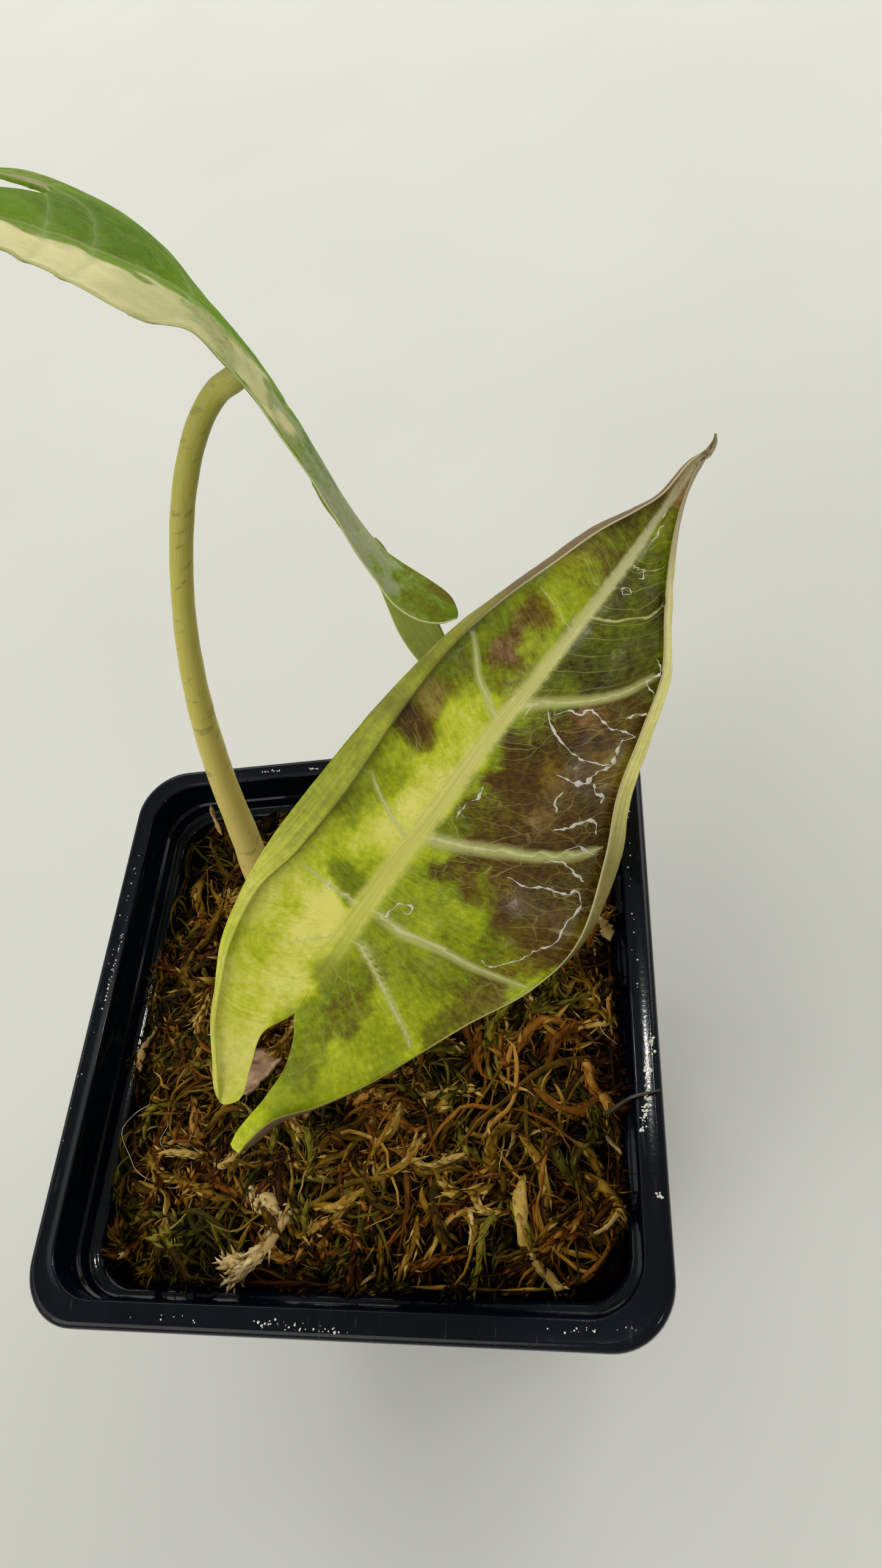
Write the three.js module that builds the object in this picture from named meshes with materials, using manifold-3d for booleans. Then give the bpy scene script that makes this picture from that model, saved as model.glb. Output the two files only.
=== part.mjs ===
// A young variegated kris plant in a square nursery pot.
// Two arrow-shaped leaves with waved edges rise on their stalks from one rootstock,
// which sits in a filling of long-fibred sphagnum moss.
// Millimetres, +Z up, origin at the middle of the pot's underside, +X to the viewer's right.

import * as THREE from 'three';
import { mergeVertices } from 'three/addons/utils/BufferGeometryUtils.js';
import Module from 'manifold-3d';

const wasm = await Module();
wasm.setup();

// Driving sizes of the pot
const RIM_WIDTH = 86;
const RIM_HEIGHT = 80;
const RIM_CORNER = 8;
const BASE_WIDTH = 58;
const BASE_CORNER = 9;
const WALL = 1.2;
const FLANGE_WIDTH = 3.4;
const FLANGE_THICKNESS = 1.2;
const SKIRT_DEPTH = 3.2;
const LEDGE_DEPTH = 8;
const LEDGE_STEP = 1.2;
const SKIRT_WALL = 1;
const LIP_ROUND = 0.6;
const FOOT_ROUND = 1;
const FLOOR_CENTRE = 6;
const DRAIN_DIAMETER = 6.5;
const DRAIN_OFFSET = 17;

// Driving sizes of what fills it
const GAP = 0.3;
const MOSS_LEVEL = 72.2;
const MOSS_RELIEF = 1.9;

// Driving sizes of the leaves
const BLADE_THICKNESS = 0.7;
const KEEL_HEIGHT = 0.9;
const ROW_STEPS = 2;
const ACROSS = [0, 0.06, 0.17, 0.3, 0.44, 0.57, 0.68, 0.78, 0.89, 1];

const v3 = (x, y, z) => new THREE.Vector3(x, y, z);
const UP = v3(0, 0, 1);

// One closed surface from a list of points and a list of triangles
function geometryOf(points, triangles) {
  const geometry = new THREE.BufferGeometry();
  const numbers = points.flatMap((p) => [p.x, p.y, p.z]);
  geometry.setAttribute('position', new THREE.Float32BufferAttribute(numbers, 3));
  geometry.setIndex(triangles.flat());
  return geometry;
}

// Solids for joining and cutting, and back again
function solidOf(geometry) {
  const bare = geometry.clone();
  bare.deleteAttribute('normal');
  bare.deleteAttribute('uv');
  const merged = mergeVertices(bare, 1e-4);
  return new wasm.Manifold(new wasm.Mesh({
    numProp: 3,
    vertProperties: new Float32Array(merged.attributes.position.array),
    triVerts: new Uint32Array(merged.index.array),
  }));
}

function geometryOfSolid(solid) {
  const mesh = solid.getMesh();
  const geometry = new THREE.BufferGeometry();
  geometry.setAttribute('position', new THREE.BufferAttribute(mesh.vertProperties, 3));
  geometry.setIndex(new THREE.BufferAttribute(mesh.triVerts, 1));
  return geometry;
}

// Rings with equal numbers of points, joined in order and closed at both ends by a fan
function skin(rings) {
  const count = rings[0].length;
  const points = rings.flat();
  const triangles = [];
  for (let ring = 0; ring < rings.length - 1; ring += 1) {
    for (let i = 0; i < count; i += 1) {
      const next = (i + 1) % count;
      const a = ring * count + i;
      const b = ring * count + next;
      triangles.push([a, b, b + count], [a, b + count, a + count]);
    }
  }
  const middle = (ring) => ring.reduce((sum, p) => sum.add(p), v3(0, 0, 0)).divideScalar(count);
  const last = (rings.length - 1) * count;
  points.push(middle(rings[0]), middle(rings[rings.length - 1]));
  for (let i = 0; i < count; i += 1) {
    const next = (i + 1) % count;
    triangles.push([points.length - 2, next, i], [points.length - 1, last + i, last + next]);
  }
  return geometryOf(points, triangles);
}

// Points round a square with arcs for corners, counter-clockwise seen from above
function roundedSquare(half, corner, z, arcSteps, sideSteps) {
  const ring = [];
  for (let quarter = 0; quarter < 4; quarter += 1) {
    const turn = quarter * Math.PI / 2;
    const place = (x, y) => v3(x, y, z).applyAxisAngle(UP, turn);
    const centre = half - corner;
    for (let i = 1; i < sideSteps; i += 1) {
      ring.push(place(half, centre * (2 * i / sideSteps - 1)));
    }
    for (let i = 0; i <= arcSteps; i += 1) {
      const angle = i / arcSteps * Math.PI / 2;
      ring.push(place(centre + corner * Math.cos(angle), centre + corner * Math.sin(angle)));
    }
  }
  return ring;
}

// A round stalk or root: circles carried along a smooth curve, their radius a function of the way along
function sweep(route, radiusAt, sides, steps) {
  const curve = new THREE.CatmullRomCurve3(route.map((p) => v3(...p)), false, 'centripetal');
  const frames = curve.computeFrenetFrames(steps, false);
  const rings = [];
  for (let i = 0; i <= steps; i += 1) {
    const centre = curve.getPointAt(i / steps);
    const radius = radiusAt(i / steps);
    const ring = [];
    for (let j = 0; j < sides; j += 1) {
      const angle = j / sides * 2 * Math.PI;
      ring.push(centre.clone()
        .addScaledVector(frames.normals[i], radius * Math.cos(angle))
        .addScaledVector(frames.binormals[i], radius * Math.sin(angle)));
    }
    rings.push(ring);
  }
  return skin(rings);
}

// The pot: half width of its outside and inside at a height, both tapering towards the base
const bodyTop = RIM_HEIGHT - LEDGE_DEPTH;
const collarHalf = RIM_WIDTH / 2 - FLANGE_WIDTH;
const taper = (z) => BASE_WIDTH / 2 + (collarHalf - LEDGE_STEP - BASE_WIDTH / 2) * z / bodyTop;
const innerHalf = (z) => (z > bodyTop ? collarHalf : taper(z) - WALL);
const cornerAt = (z) => BASE_CORNER + (RIM_CORNER - BASE_CORNER) * z / RIM_HEIGHT;

// Its wall is an outline carried round the square, from the middle of the underside over the body,
// the step, the skirt and the flange, and down the inside to the floor. Each point gives the half
// width, the height and how much tighter than the outside its corners are.
function pot() {
  const outer = RIM_WIDTH / 2;
  const underFlange = RIM_HEIGHT - FLANGE_THICKNESS;
  const skirtEnd = RIM_HEIGHT - SKIRT_DEPTH;
  const floorHalf = taper(WALL) - WALL - FOOT_ROUND;
  const ring = (half, z, trim = 0) => roundedSquare(half, cornerAt(z) - trim, z, 6, 2);
  const shell = solidOf(skin([
    ring(FLOOR_CENTRE, 0, 3.5),
    ring(BASE_WIDTH / 2 - FOOT_ROUND, 0, 1),
    ring(BASE_WIDTH / 2, FOOT_ROUND),
    ring(taper(bodyTop - FOOT_ROUND), bodyTop - FOOT_ROUND),
    ring(collarHalf + WALL - 0.2, bodyTop),
    ring(collarHalf + WALL, underFlange, 1),
    ring(outer - SKIRT_WALL, underFlange, 0.8),
    ring(outer - SKIRT_WALL, skirtEnd, 0.8),
    ring(outer, skirtEnd),
    ring(outer, RIM_HEIGHT - LIP_ROUND),
    ring(outer - 0.3 * LIP_ROUND, RIM_HEIGHT - 0.3 * LIP_ROUND, 0.2),
    ring(outer - LIP_ROUND, RIM_HEIGHT, 0.5),
    ring(collarHalf + LIP_ROUND, RIM_HEIGHT, 1),
    ring(collarHalf, RIM_HEIGHT - LIP_ROUND, 1),
    ring(collarHalf, bodyTop + 0.4, 1.2),
    ring(collarHalf - 0.4, bodyTop, 1.4),
    ring(taper(bodyTop) - WALL, bodyTop - 0.4, 2),
    ring(floorHalf + FOOT_ROUND / 2, WALL + FOOT_ROUND, 2),
    ring(floorHalf, WALL, 2.8),
    ring(FLOOR_CENTRE, WALL, 3.5),
  ]));
  let drained = shell;
  for (const [x, y] of [[1, 1], [-1, 1], [-1, -1], [1, -1]]) {
    const drill = new THREE.CylinderGeometry(DRAIN_DIAMETER / 2, DRAIN_DIAMETER / 2, 5 * WALL, 20);
    drill.rotateX(Math.PI / 2);
    drill.translate(x * DRAIN_OFFSET, y * DRAIN_OFFSET, 0);
    drained = drained.subtract(solidOf(drill));
  }
  return geometryOfSolid(drained);
}

// The leaves. A blade is a net of points in its own frame: along the midrib towards the tip,
// across to the leaf's right, and lift above its plane. Each rib runs from the left margin over the
// left crest, where the edge rolls up, to the midrib and on to the right crest and margin.
// The two lobes behind the notch have rows of their own: inner edge, crest, margin.
const FRONT_LEAF = {
  at: [4, 7, 92.5],
  heading: 49,
  pitch: 13.5,
  roll: 30.5,
  cup: [-0.02, 0.05],
  leftLobe: [
    [[-30.2, 1.2, 0.4], [-30.7, 0.6, 0.4], [-30.6, 0, 0.6]],
    [[-28.6, 2, 0.3], [-29.8, -1.2, 0.6], [-29.4, -0.8, 1.6]],
    [[-24.8, 0.6, 0], [-26, -4.5, 1], [-25.6, -4, 2]],
    [[-19.8, -0.9, 0], [-22.5, -7.4, 1], [-22.1, -6.8, 2]],
  ],
  rightLobe: [
    [[-34.2, 4.6, 0.6], [-34.5, 5.5, 0.7], [-34.3, 6.3, 1.4]],
    [[-32, 4.4, 0.2], [-32.5, 7, 0.8], [-32.2, 6.2, 2.2]],
    [[-27.4, 4.7, 0], [-27.9, 8.2, 1], [-27.7, 7.2, 2.6]],
    [[-22, 4.4, 0], [-23.6, 11, 0.2], [-23.2, 11, 1.2]],
    [[-17.8, 2.8, 0], [-17.4, 14.6, -0.5], [-17, 14.8, 0.3]],
  ],
  ribs: [
    [[-17.8, -9.1, 2.2], [-18.2, -9.9, 1], [-15.2, 1, 0], [-10.8, 17.4, -1], [-10.4, 17.8, -0.4]],
    [[-12.7, -11.4, 2.4], [-13.2, -12.8, 1], [-8, 0.3, 0], [-3.2, 20.4, -1], [-2.8, 21, -0.6]],
    [[-4.4, -12.8, 2.8], [-5.2, -15, 1], [0, 0, 0], [6.2, 24.8, -1.6], [6.5, 25.4, -0.8]],
    [[2.8, -11.6, 2.8], [1.8, -15.8, 1], [8.1, -0.1, 0], [15.6, 27, 0.2], [15.4, 26, 2.4]],
    [[14.2, -11.2, 2.8], [13.7, -15.7, 1], [16.3, 0.1, 0], [27.6, 25.1, -1.8], [26.9, 22.6, 0.6]],
    [[27.3, -11.8, 2.6], [26, -15.1, 1], [25.7, 0, 0], [35.8, 20.8, -0.4], [35, 18.6, 1.6]],
    [[39.3, -11.3, 2.4], [39.1, -13.3, 1], [34.7, 0, -0.2], [44.8, 17.9, -0.2], [44.4, 16, 1.6]],
    [[48, -9.6, 2], [47.9, -10.9, 0.6], [41.6, 0.3, -0.5], [53, 15.5, -2], [52.5, 13.9, -0.2]],
    [[55.5, -7.3, 1.6], [55.3, -8.6, 0.2], [49.9, 0.5, -1], [59.8, 10.4, -0.8], [59.2, 9.2, 0.8]],
    [[63.2, -5, 0.6], [63.3, -6.2, -0.8], [58.4, 0.7, -1.8], [65.8, 6.9, -2.4], [65, 6.1, -1]],
    [[69.2, -2.5, -0.4], [69.3, -3.2, -1.6], [66.1, 0.7, -2.6], [72, 3.4, -2.2], [71.6, 2.9, -1.2]],
    [[73.8, -1, -1.8], [73.8, -1.4, -2.8], [73, 0.5, -3.4], [77.2, 1.5, -3], [77, 1.3, -2.2]],
    [[80.2, -0.4, -2.6], [80.2, -0.7, -3.2], [80.4, 0.1, -3.4], [82.2, 0.7, -3.2], [82, 0.5, -2.6]],
    [[85.2, -1.4, -0.8], [85.2, -1.7, -1], [85.6, -1.2, -1], [85.8, -0.8, -0.8], [85.7, -0.9, -0.6]],
  ],
};

const BACK_LEAF = {
  at: [1.5, 61, 142],
  heading: 162,
  pitch: 56,
  roll: 50,
  cup: [0.04, 0.03],
  leftLobe: [
    [[-38, -11.8, -6.6], [-38.2, -12.6, -6.8], [-37.8, -13.6, -7.2]],
    [[-36.8, -9.2, -5.8], [-36.4, -14, -8.3], [-35.8, -15.4, -8.9]],
    [[-34.5, -7, -6], [-33.8, -14.8, -9.8], [-33, -15.7, -10.4]],
    [[-32, -4.6, -6.6], [-30.6, -14.4, -10.6], [-29.5, -15, -10.9]],
  ],
  rightLobe: [
    [[-49.3, 2.8, -14.8], [-49.4, 3.6, -15.6], [-49.2, 4.4, -16.3]],
    [[-46, 0.8, -12], [-46.4, 3.4, -15], [-46.4, 5, -16.6]],
    [[-41, -0.6, -9.8], [-41.2, 3, -13], [-41, 5.8, -15.4]],
    [[-35.5, -1.4, -8.3], [-36.3, 2.6, -10.8], [-36.4, 6.6, -13.2]],
  ],
  ribs: [
    [[-25.5, -13.9, -10], [-26.4, -13.2, -10], [-29, -1.6, -7], [-31.8, 2.8, -9.2], [-32.8, 6.6, -11.4]],
    [[-21.3, -13.6, -8.9], [-22.3, -12.8, -9], [-24, -1.2, -6.4], [-26, 3.8, -7.8], [-27.4, 7.6, -9.4]],
    [[-16.6, -13.5, -7.3], [-17.5, -12.4, -7.4], [-18.4, -0.8, -5.1], [-19.6, 5.2, -6.4], [-20.2, 9.4, -8.2]],
    [[-11.8, -13.6, -5.9], [-12.2, -12.6, -5.8], [-12.6, -0.3, -3.2], [-14.2, 5.4, -4.6], [-15.2, 10, -6]],
    [[-6.3, -13.9, -4.6], [-6.3, -12.8, -4.4], [-6.3, 0, -1.2], [-7.8, 6.5, -2.2], [-9.2, 11.4, -3.2]],
    [[0, -15, -3], [0, -13.8, -2.8], [0, 0, 0], [-1, 7.4, 0], [-1.8, 13.4, -0.4]],
    [[4, -18.2, -2.6], [4.2, -16.9, -2.5], [5.2, -1.2, 0.5], [4.6, 7.2, 1], [4, 14.6, 0.9]],
    [[8.3, -20.4, -2.4], [8.5, -19.2, -2.3], [10, -2.3, 0.3], [10, 7.6, 1.8], [10, 16.4, 2]],
    [[12.1, -22, -4.6], [12.2, -20.9, -4.4], [14.4, -3.4, -0.7], [15.4, 7.8, 2.6], [16, 18.4, 3.2]],
    [[14.9, -22, -5.6], [14.9, -20.9, -5.4], [17.6, -4.2, -1.9], [19, 8, 1.9], [21, 20, 3]],
    [[17.9, -21.5, -6.3], [18, -20.3, -6.1], [20.7, -4.8, -3.1], [22.9, 8, 0.8], [26.4, 21.6, 1.6]],
    [[20.4, -20.4, -7], [20.6, -19.3, -6.9], [23.2, -5.2, -4.1], [25.8, 8.2, -0.4], [34, 24.6, -1.6]],
    [[21.4, -20, -7.3], [21.6, -18.9, -7.2], [24.2, -5.4, -4.6], [27.4, 8, -1.4], [38.2, 24.6, -5.4]],
    [[22.6, -19.8, -7.7], [22.8, -18.7, -7.6], [25.2, -5.6, -5.1], [28, 7.4, -1.8], [31, 16.2, -1.4]],
    [[24, -19.5, -8.2], [24.1, -18.4, -8.1], [26.4, -5.8, -5.7], [28.4, 6, -2.2], [28.6, 9.6, -1.8]],
    [[26, -19.2, -8.8], [26, -18, -8.7], [28, -6, -6.5], [31, 4.6, -4.4], [31.6, 8.4, -4.4]],
    [[31, -20.2, -12.5], [31, -19, -12.4], [34, -6.8, -10.6], [35.6, 4.6, -8.6], [36.6, 10.4, -8.4]],
    [[35.6, -17.8, -17.6], [35.6, -16.6, -17.6], [38.5, -7.6, -16.4], [40.6, 3.4, -15.4], [41.8, 10.4, -16]],
    [[38.8, -17.4, -26], [38.8, -16.2, -26], [41.5, -8.2, -24], [43.2, -0.8, -23], [44, 2.8, -22.6]],
    [[40.6, -13.4, -33.6], [40.6, -12.6, -33.6], [42.6, -8.8, -33], [43.4, -3.2, -33.2], [43.8, -0.8, -33.4]],
    [[39.8, -11.8, -43], [39.8, -11.4, -43], [41, -9.4, -42.5], [41.6, -7.2, -42.4], [41.8, -6.6, -42.4]],
    [[37.8, -10.4, -50.2], [37.8, -10.1, -50.2], [38, -9.8, -50], [38.2, -9.5, -50], [38.2, -9.2, -50]],
  ],
};

// A leaf's frame: heading and pitch turn the midrib, roll tips the right half down
function leafMatrix(leaf) {
  const heading = THREE.MathUtils.degToRad(leaf.heading);
  const pitch = THREE.MathUtils.degToRad(leaf.pitch);
  const roll = THREE.MathUtils.degToRad(leaf.roll);
  const along = v3(Math.cos(pitch) * Math.cos(heading), Math.cos(pitch) * Math.sin(heading), Math.sin(pitch));
  const level = v3(Math.sin(heading), -Math.cos(heading), 0);
  const upright = new THREE.Vector3().crossVectors(level, along);
  const across = level.clone().multiplyScalar(Math.cos(roll)).addScaledVector(upright, -Math.sin(roll));
  const lift = upright.clone().multiplyScalar(Math.cos(roll)).addScaledVector(level, Math.sin(roll));
  return new THREE.Matrix4().makeBasis(along, across, lift).setPosition(...leaf.at);
}

// One half of a blade as rows of points from the inner edge or midrib out to the margin
function halfBlade(rows, cup, matrix) {
  const inner = rows.map((row) => v3(...row[0]));
  const crest = rows.map((row) => v3(...row[1]));
  const margin = rows.map((row) => v3(...row[2]));
  const middle = inner.map((p, i) => p.clone().lerp(crest[i], 0.5)
    .add(v3(0, 0, cup * p.distanceTo(crest[i]))));
  const columns = [inner, middle, crest, margin]
    .map((line) => new THREE.CatmullRomCurve3(line, false, 'centripetal'));
  const steps = (rows.length - 1) * ROW_STEPS;
  const grid = [];
  for (let i = 0; i <= steps; i += 1) {
    const rib = new THREE.CatmullRomCurve3(columns.map((c) => c.getPoint(i / steps)), false, 'centripetal');
    grid.push(ACROSS.map((t) => rib.getPoint(t).applyMatrix4(matrix)));
  }
  return grid;
}

// Two triangles for each cell of a grid of points; flip turns their faces over
function gridFaces(rowCount, columnCount, index, flip) {
  const faces = [];
  for (let row = 0; row < rowCount - 1; row += 1) {
    for (let column = 0; column < columnCount - 1; column += 1) {
      const [a, b] = [index(row, column), index(row, column + 1)];
      const [d, c] = [index(row + 1, column), index(row + 1, column + 1)];
      faces.push(flip ? [a, c, b] : [a, b, c], flip ? [a, d, c] : [a, c, d]);
    }
  }
  return faces;
}

// A closed slab round a sheet: the sheet moved up along its normals, the same sheet moved down,
// split alike, and a strip that joins them all round the open edges
function slab(points, faces, up, down) {
  const normals = points.map(() => v3(0, 0, 0));
  for (const [a, b, c] of faces) {
    const normal = new THREE.Triangle(points[a], points[b], points[c]).getNormal(v3(0, 0, 0));
    [a, b, c].forEach((corner) => normals[corner].add(normal));
  }
  normals.forEach((normal) => normal.normalize());
  const top = points.map((p, i) => p.clone().addScaledVector(normals[i], up));
  const under = points.map((p, i) => p.clone().addScaledVector(normals[i], -down(i)));
  const count = points.length;
  const solid = [...faces, ...faces.map(([a, b, c]) => [a + count, c + count, b + count])];
  const edges = new Map();
  for (const [a, b, c] of faces) {
    [[a, b], [b, c], [c, a]].forEach(([from, to]) => edges.set(`${from},${to}`, [from, to]));
  }
  for (const [from, to] of edges.values()) {
    if (!edges.has(`${to},${from}`)) {
      solid.push([to, from, from + count], [to, from + count, to + count]);
    }
  }
  return mergeVertices(geometryOf([...top, ...under], solid), 1e-5);
}

// A blade: both halves share the midrib, and the underside carries a keel along it
function blade(leaf, extra = 0) {
  const matrix = leafMatrix(leaf);
  const leftRows = [...leaf.leftLobe, ...leaf.ribs.map((rib) => [rib[2], rib[1], rib[0]])];
  const rightRows = [...leaf.rightLobe, ...leaf.ribs.map((rib) => [rib[2], rib[3], rib[4]])];
  const left = halfBlade(leftRows, leaf.cup[0], matrix);
  const right = halfBlade(rightRows, leaf.cup[1], matrix);
  const shift = left.length - right.length;
  const notchRow = leaf.leftLobe.length * ROW_STEPS;
  const columns = ACROSS.length;
  const leftIndex = (row, column) => row * columns + column;
  const rightIndex = (row, column) => {
    const shared = column === 0 && row + shift >= notchRow;
    return shared ? leftIndex(row + shift, 0) : left.length * columns + row * columns + column;
  };
  const faces = [
    ...gridFaces(left.length, columns, leftIndex, true),
    ...gridFaces(right.length, columns, rightIndex, false),
  ];
  const half = BLADE_THICKNESS / 2 + extra;
  const keel = (row) => KEEL_HEIGHT * (1 - 0.8 * (row - notchRow) / (left.length - 1 - notchRow));
  const down = (i) => {
    const row = i / columns;
    const onMidrib = i % columns === 0 && row >= notchRow && row < left.length;
    return half + (onMidrib ? keel(row) : 0);
  };
  return slab([...left.flat(), ...right.flat()], faces, half, down);
}

// The leaf stalks, thick and sheathing at the rootstock, slimmer under the blade
const STALK_SIDES = 10;
const STALK_STEPS = 3;
const STALK_TAPER = 1.6;
const BACK_STALK = {
  route: [
    [-20.5, 21.5, 60], [-20.8, 23.5, 72], [-21.2, 28, 80], [-21.8, 34, 91],
    [-21.5, 40, 101.5], [-19.6, 46, 112.5], [-16.4, 51.7, 122.5], [-12.7, 56, 130.2],
    [-8.5, 59, 136], [-4.6, 60.2, 139.3], [-1.2, 59.8, 141], [1.5, 61, 142],
  ],
  radius: [2.7, 1.65],
};
const FRONT_STALK = {
  route: [
    [-15.2, 19.5, 60], [-15.2, 19.5, 70], [-13.8, 18.6, 79], [-9.5, 15.6, 85.5], [-3.2, 11.9, 88.4],
    [2.2, 9.6, 89.2], [4, 7, 92.5],
  ],
  radius: [2.6, 1.7],
};

function stalk(spec, extra) {
  const [low, high] = spec.radius;
  const radiusAt = (t) => low + (high - low) * Math.min(1, STALK_TAPER * t) + extra;
  return solidOf(sweep(spec.route, radiusAt, STALK_SIDES, spec.route.length * STALK_STEPS));
}

// The rootstock: a stout upright corm with thick roots that spread and dip through the moss
const CORM = { x: -18, y: 20.5, top: 59.5, bottom: 40, radius: 6, sides: 14, steps: 8 };
const ROOT = { count: 7, radius: 1.1, turn: 2.4, first: 4, rise: 1.3, sides: 6, steps: 9 };

// A number from 0 to 1 that differs from root to root
const spread = (i, stride) => (i * stride) % 1;

function corm(extra) {
  const height = CORM.top - CORM.bottom;
  const profile = [new THREE.Vector2(0, -extra)];
  for (let i = 0; i <= CORM.steps; i += 1) {
    const t = i / CORM.steps;
    const bulge = Math.sqrt(Math.sin(Math.PI * (0.12 + 0.7 * t)));
    profile.push(new THREE.Vector2(CORM.radius * bulge + extra, height * t + extra * (t === 1 ? 1 : t - 1)));
  }
  profile.push(new THREE.Vector2(0, height + extra));
  const geometry = new THREE.LatheGeometry(profile, CORM.sides);
  geometry.rotateX(Math.PI / 2);
  geometry.translate(CORM.x, CORM.y, CORM.bottom);
  return solidOf(geometry);
}

// Root number i leaves the corm level, then bends down and in towards the middle of the pot
function root(i, extra) {
  const angle = i * ROOT.turn;
  const start = CORM.bottom + ROOT.first + ROOT.rise * i;
  const reach = 7 + 9 * spread(i, 0.37);
  const low = 9 + 14 * spread(i, 0.61);
  const inward = 0.2 + 0.45 * spread(i, 0.29);
  const at = (r, z, pull) => [
    (CORM.x + r * Math.cos(angle)) * (1 - pull),
    (CORM.y + r * Math.sin(angle)) * (1 - pull),
    z,
  ];
  const route = [
    at(2, start, 0),
    at(6, start - 1, 0),
    at(reach * 0.7, start - 7, inward * 0.3),
    at(reach, (start + low) / 2, inward * 0.7),
    at(reach * 1.1, low, inward),
  ];
  return solidOf(sweep(route, (t) => ROOT.radius * (1 - 0.45 * t) + extra, ROOT.sides, ROOT.steps));
}

function rootstock(extra) {
  let body = corm(extra);
  for (let i = 0; i < ROOT.count; i += 1) {
    body = body.add(root(i, extra));
  }
  return body;
}

// A dry, papery scale leaf left from the plant's first growth, its foot in the moss.
// It rises, bends over towards its blunt tip and is cupped across.
const SCALE_LEAF = {
  at: [-13.4, -2.4, 70.5], heading: 250, reach: 12, width: 8, thickness: 0.8,
  rise: 7.5, bend: 1.35, cup: 0.09, steps: 8, across: 4,
};

function scaleLeaf(extra) {
  const points = [];
  for (let i = 0; i <= SCALE_LEAF.steps; i += 1) {
    const t = i / SCALE_LEAF.steps;
    const half = SCALE_LEAF.width / 2 * Math.sqrt(1 - 0.75 * (1 - t) ** 2) * (1 - 0.45 * t * t) + extra;
    const along = SCALE_LEAF.reach * t + extra * (2 * t - 1);
    const height = SCALE_LEAF.rise * Math.sin(SCALE_LEAF.bend * t);
    for (let j = 0; j <= SCALE_LEAF.across; j += 1) {
      const y = half * (2 * j / SCALE_LEAF.across - 1);
      points.push(v3(along, y, height + SCALE_LEAF.cup * y * y));
    }
  }
  const columns = SCALE_LEAF.across + 1;
  const faces = gridFaces(SCALE_LEAF.steps + 1, columns, (row, column) => row * columns + column, true);
  const half = SCALE_LEAF.thickness / 2 + extra;
  const geometry = slab(points, faces, half, () => half);
  geometry.rotateZ(THREE.MathUtils.degToRad(SCALE_LEAF.heading));
  geometry.translate(...SCALE_LEAF.at);
  return solidOf(geometry);
}

// The moss: it fills the pot to just under the inner ledge and has a lumpy, tufted top
const MOSS_RINGS = 10;

function mossTop(x, y) {
  const tufts = Math.sin(x * 0.55 + 1.3 * Math.sin(y * 0.21)) * Math.cos(y * 0.48 + 0.9 * Math.sin(x * 0.27));
  const lumps = Math.sin(x * 0.19 - y * 0.13 + 0.7) + 0.6 * Math.cos(y * 0.23 + x * 0.05);
  return MOSS_LEVEL + MOSS_RELIEF * (0.55 * tufts + 0.35 * lumps);
}

function moss() {
  const floor = WALL + GAP;
  const ring = (inset, z) => roundedSquare(innerHalf(z) - GAP - inset, cornerAt(z) - 1.5, z, 4, 5);
  const shoulder = bodyTop - 1.5;
  const rings = [
    ring(18, floor),
    ring(1.9, floor),
    ring(0.9, floor + 1.2),
    ring(0, shoulder),
  ];
  const edge = rings[3];
  for (let i = 1; i < MOSS_RINGS; i += 1) {
    const share = 1 - i / MOSS_RINGS;
    const blend = Math.min(1, i / 1.5);
    rings.push(edge.map((p) => {
      const x = p.x * share;
      const y = p.y * share;
      return v3(x, y, shoulder + (mossTop(x, y) - shoulder) * blend);
    }));
  }
  return solidOf(skin(rings));
}

// Every piece cut clear of what it holds
const backBlade = blade(BACK_LEAF);
const frontBlade = blade(FRONT_LEAF);
const backStalk = stalk(BACK_STALK, 0).subtract(solidOf(blade(BACK_LEAF, GAP)));
const frontStalk = stalk(FRONT_STALK, 0).subtract(solidOf(blade(FRONT_LEAF, GAP)));
const filling = moss()
  .subtract(rootstock(GAP))
  .subtract(stalk(BACK_STALK, GAP))
  .subtract(stalk(FRONT_STALK, GAP))
  .subtract(scaleLeaf(GAP));

const plant = new THREE.Group();

function addPiece(name, geometry, color, roughness) {
  const material = new THREE.MeshStandardMaterial({ color, roughness, metalness: 0 });
  const mesh = new THREE.Mesh(geometry, material);
  mesh.name = name;
  plant.add(mesh);
}

addPiece('nursery_pot', pot(), 0x0c1722, 0.3);
addPiece('sphagnum_moss', geometryOfSolid(filling), 0x7a5a33, 0.95);
addPiece('rootstock', geometryOfSolid(rootstock(0)), 0xcdbb93, 0.8);
addPiece('scale_leaf', geometryOfSolid(scaleLeaf(0)), 0x9c7a66, 0.85);
addPiece('stalk_front', geometryOfSolid(frontStalk), 0xa9a866, 0.45);
addPiece('stalk_back', geometryOfSolid(backStalk), 0xa3a05c, 0.45);
addPiece('blade_front', frontBlade, 0x6f8a1e, 0.3);
addPiece('blade_back', backBlade, 0x7d9140, 0.35);

export default plant;
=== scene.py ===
# %% [markdown]
# # A young kris plant in its nursery pot
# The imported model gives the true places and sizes: a square pot, the moss that fills it, two leaf stalks
# and two arrow-shaped blades. This lesson keeps those places and dresses every piece with a finer surface
# and with the finish of the real thing. All shapes are worked out with numpy in millimetres and turned to
# metres last.

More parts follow.
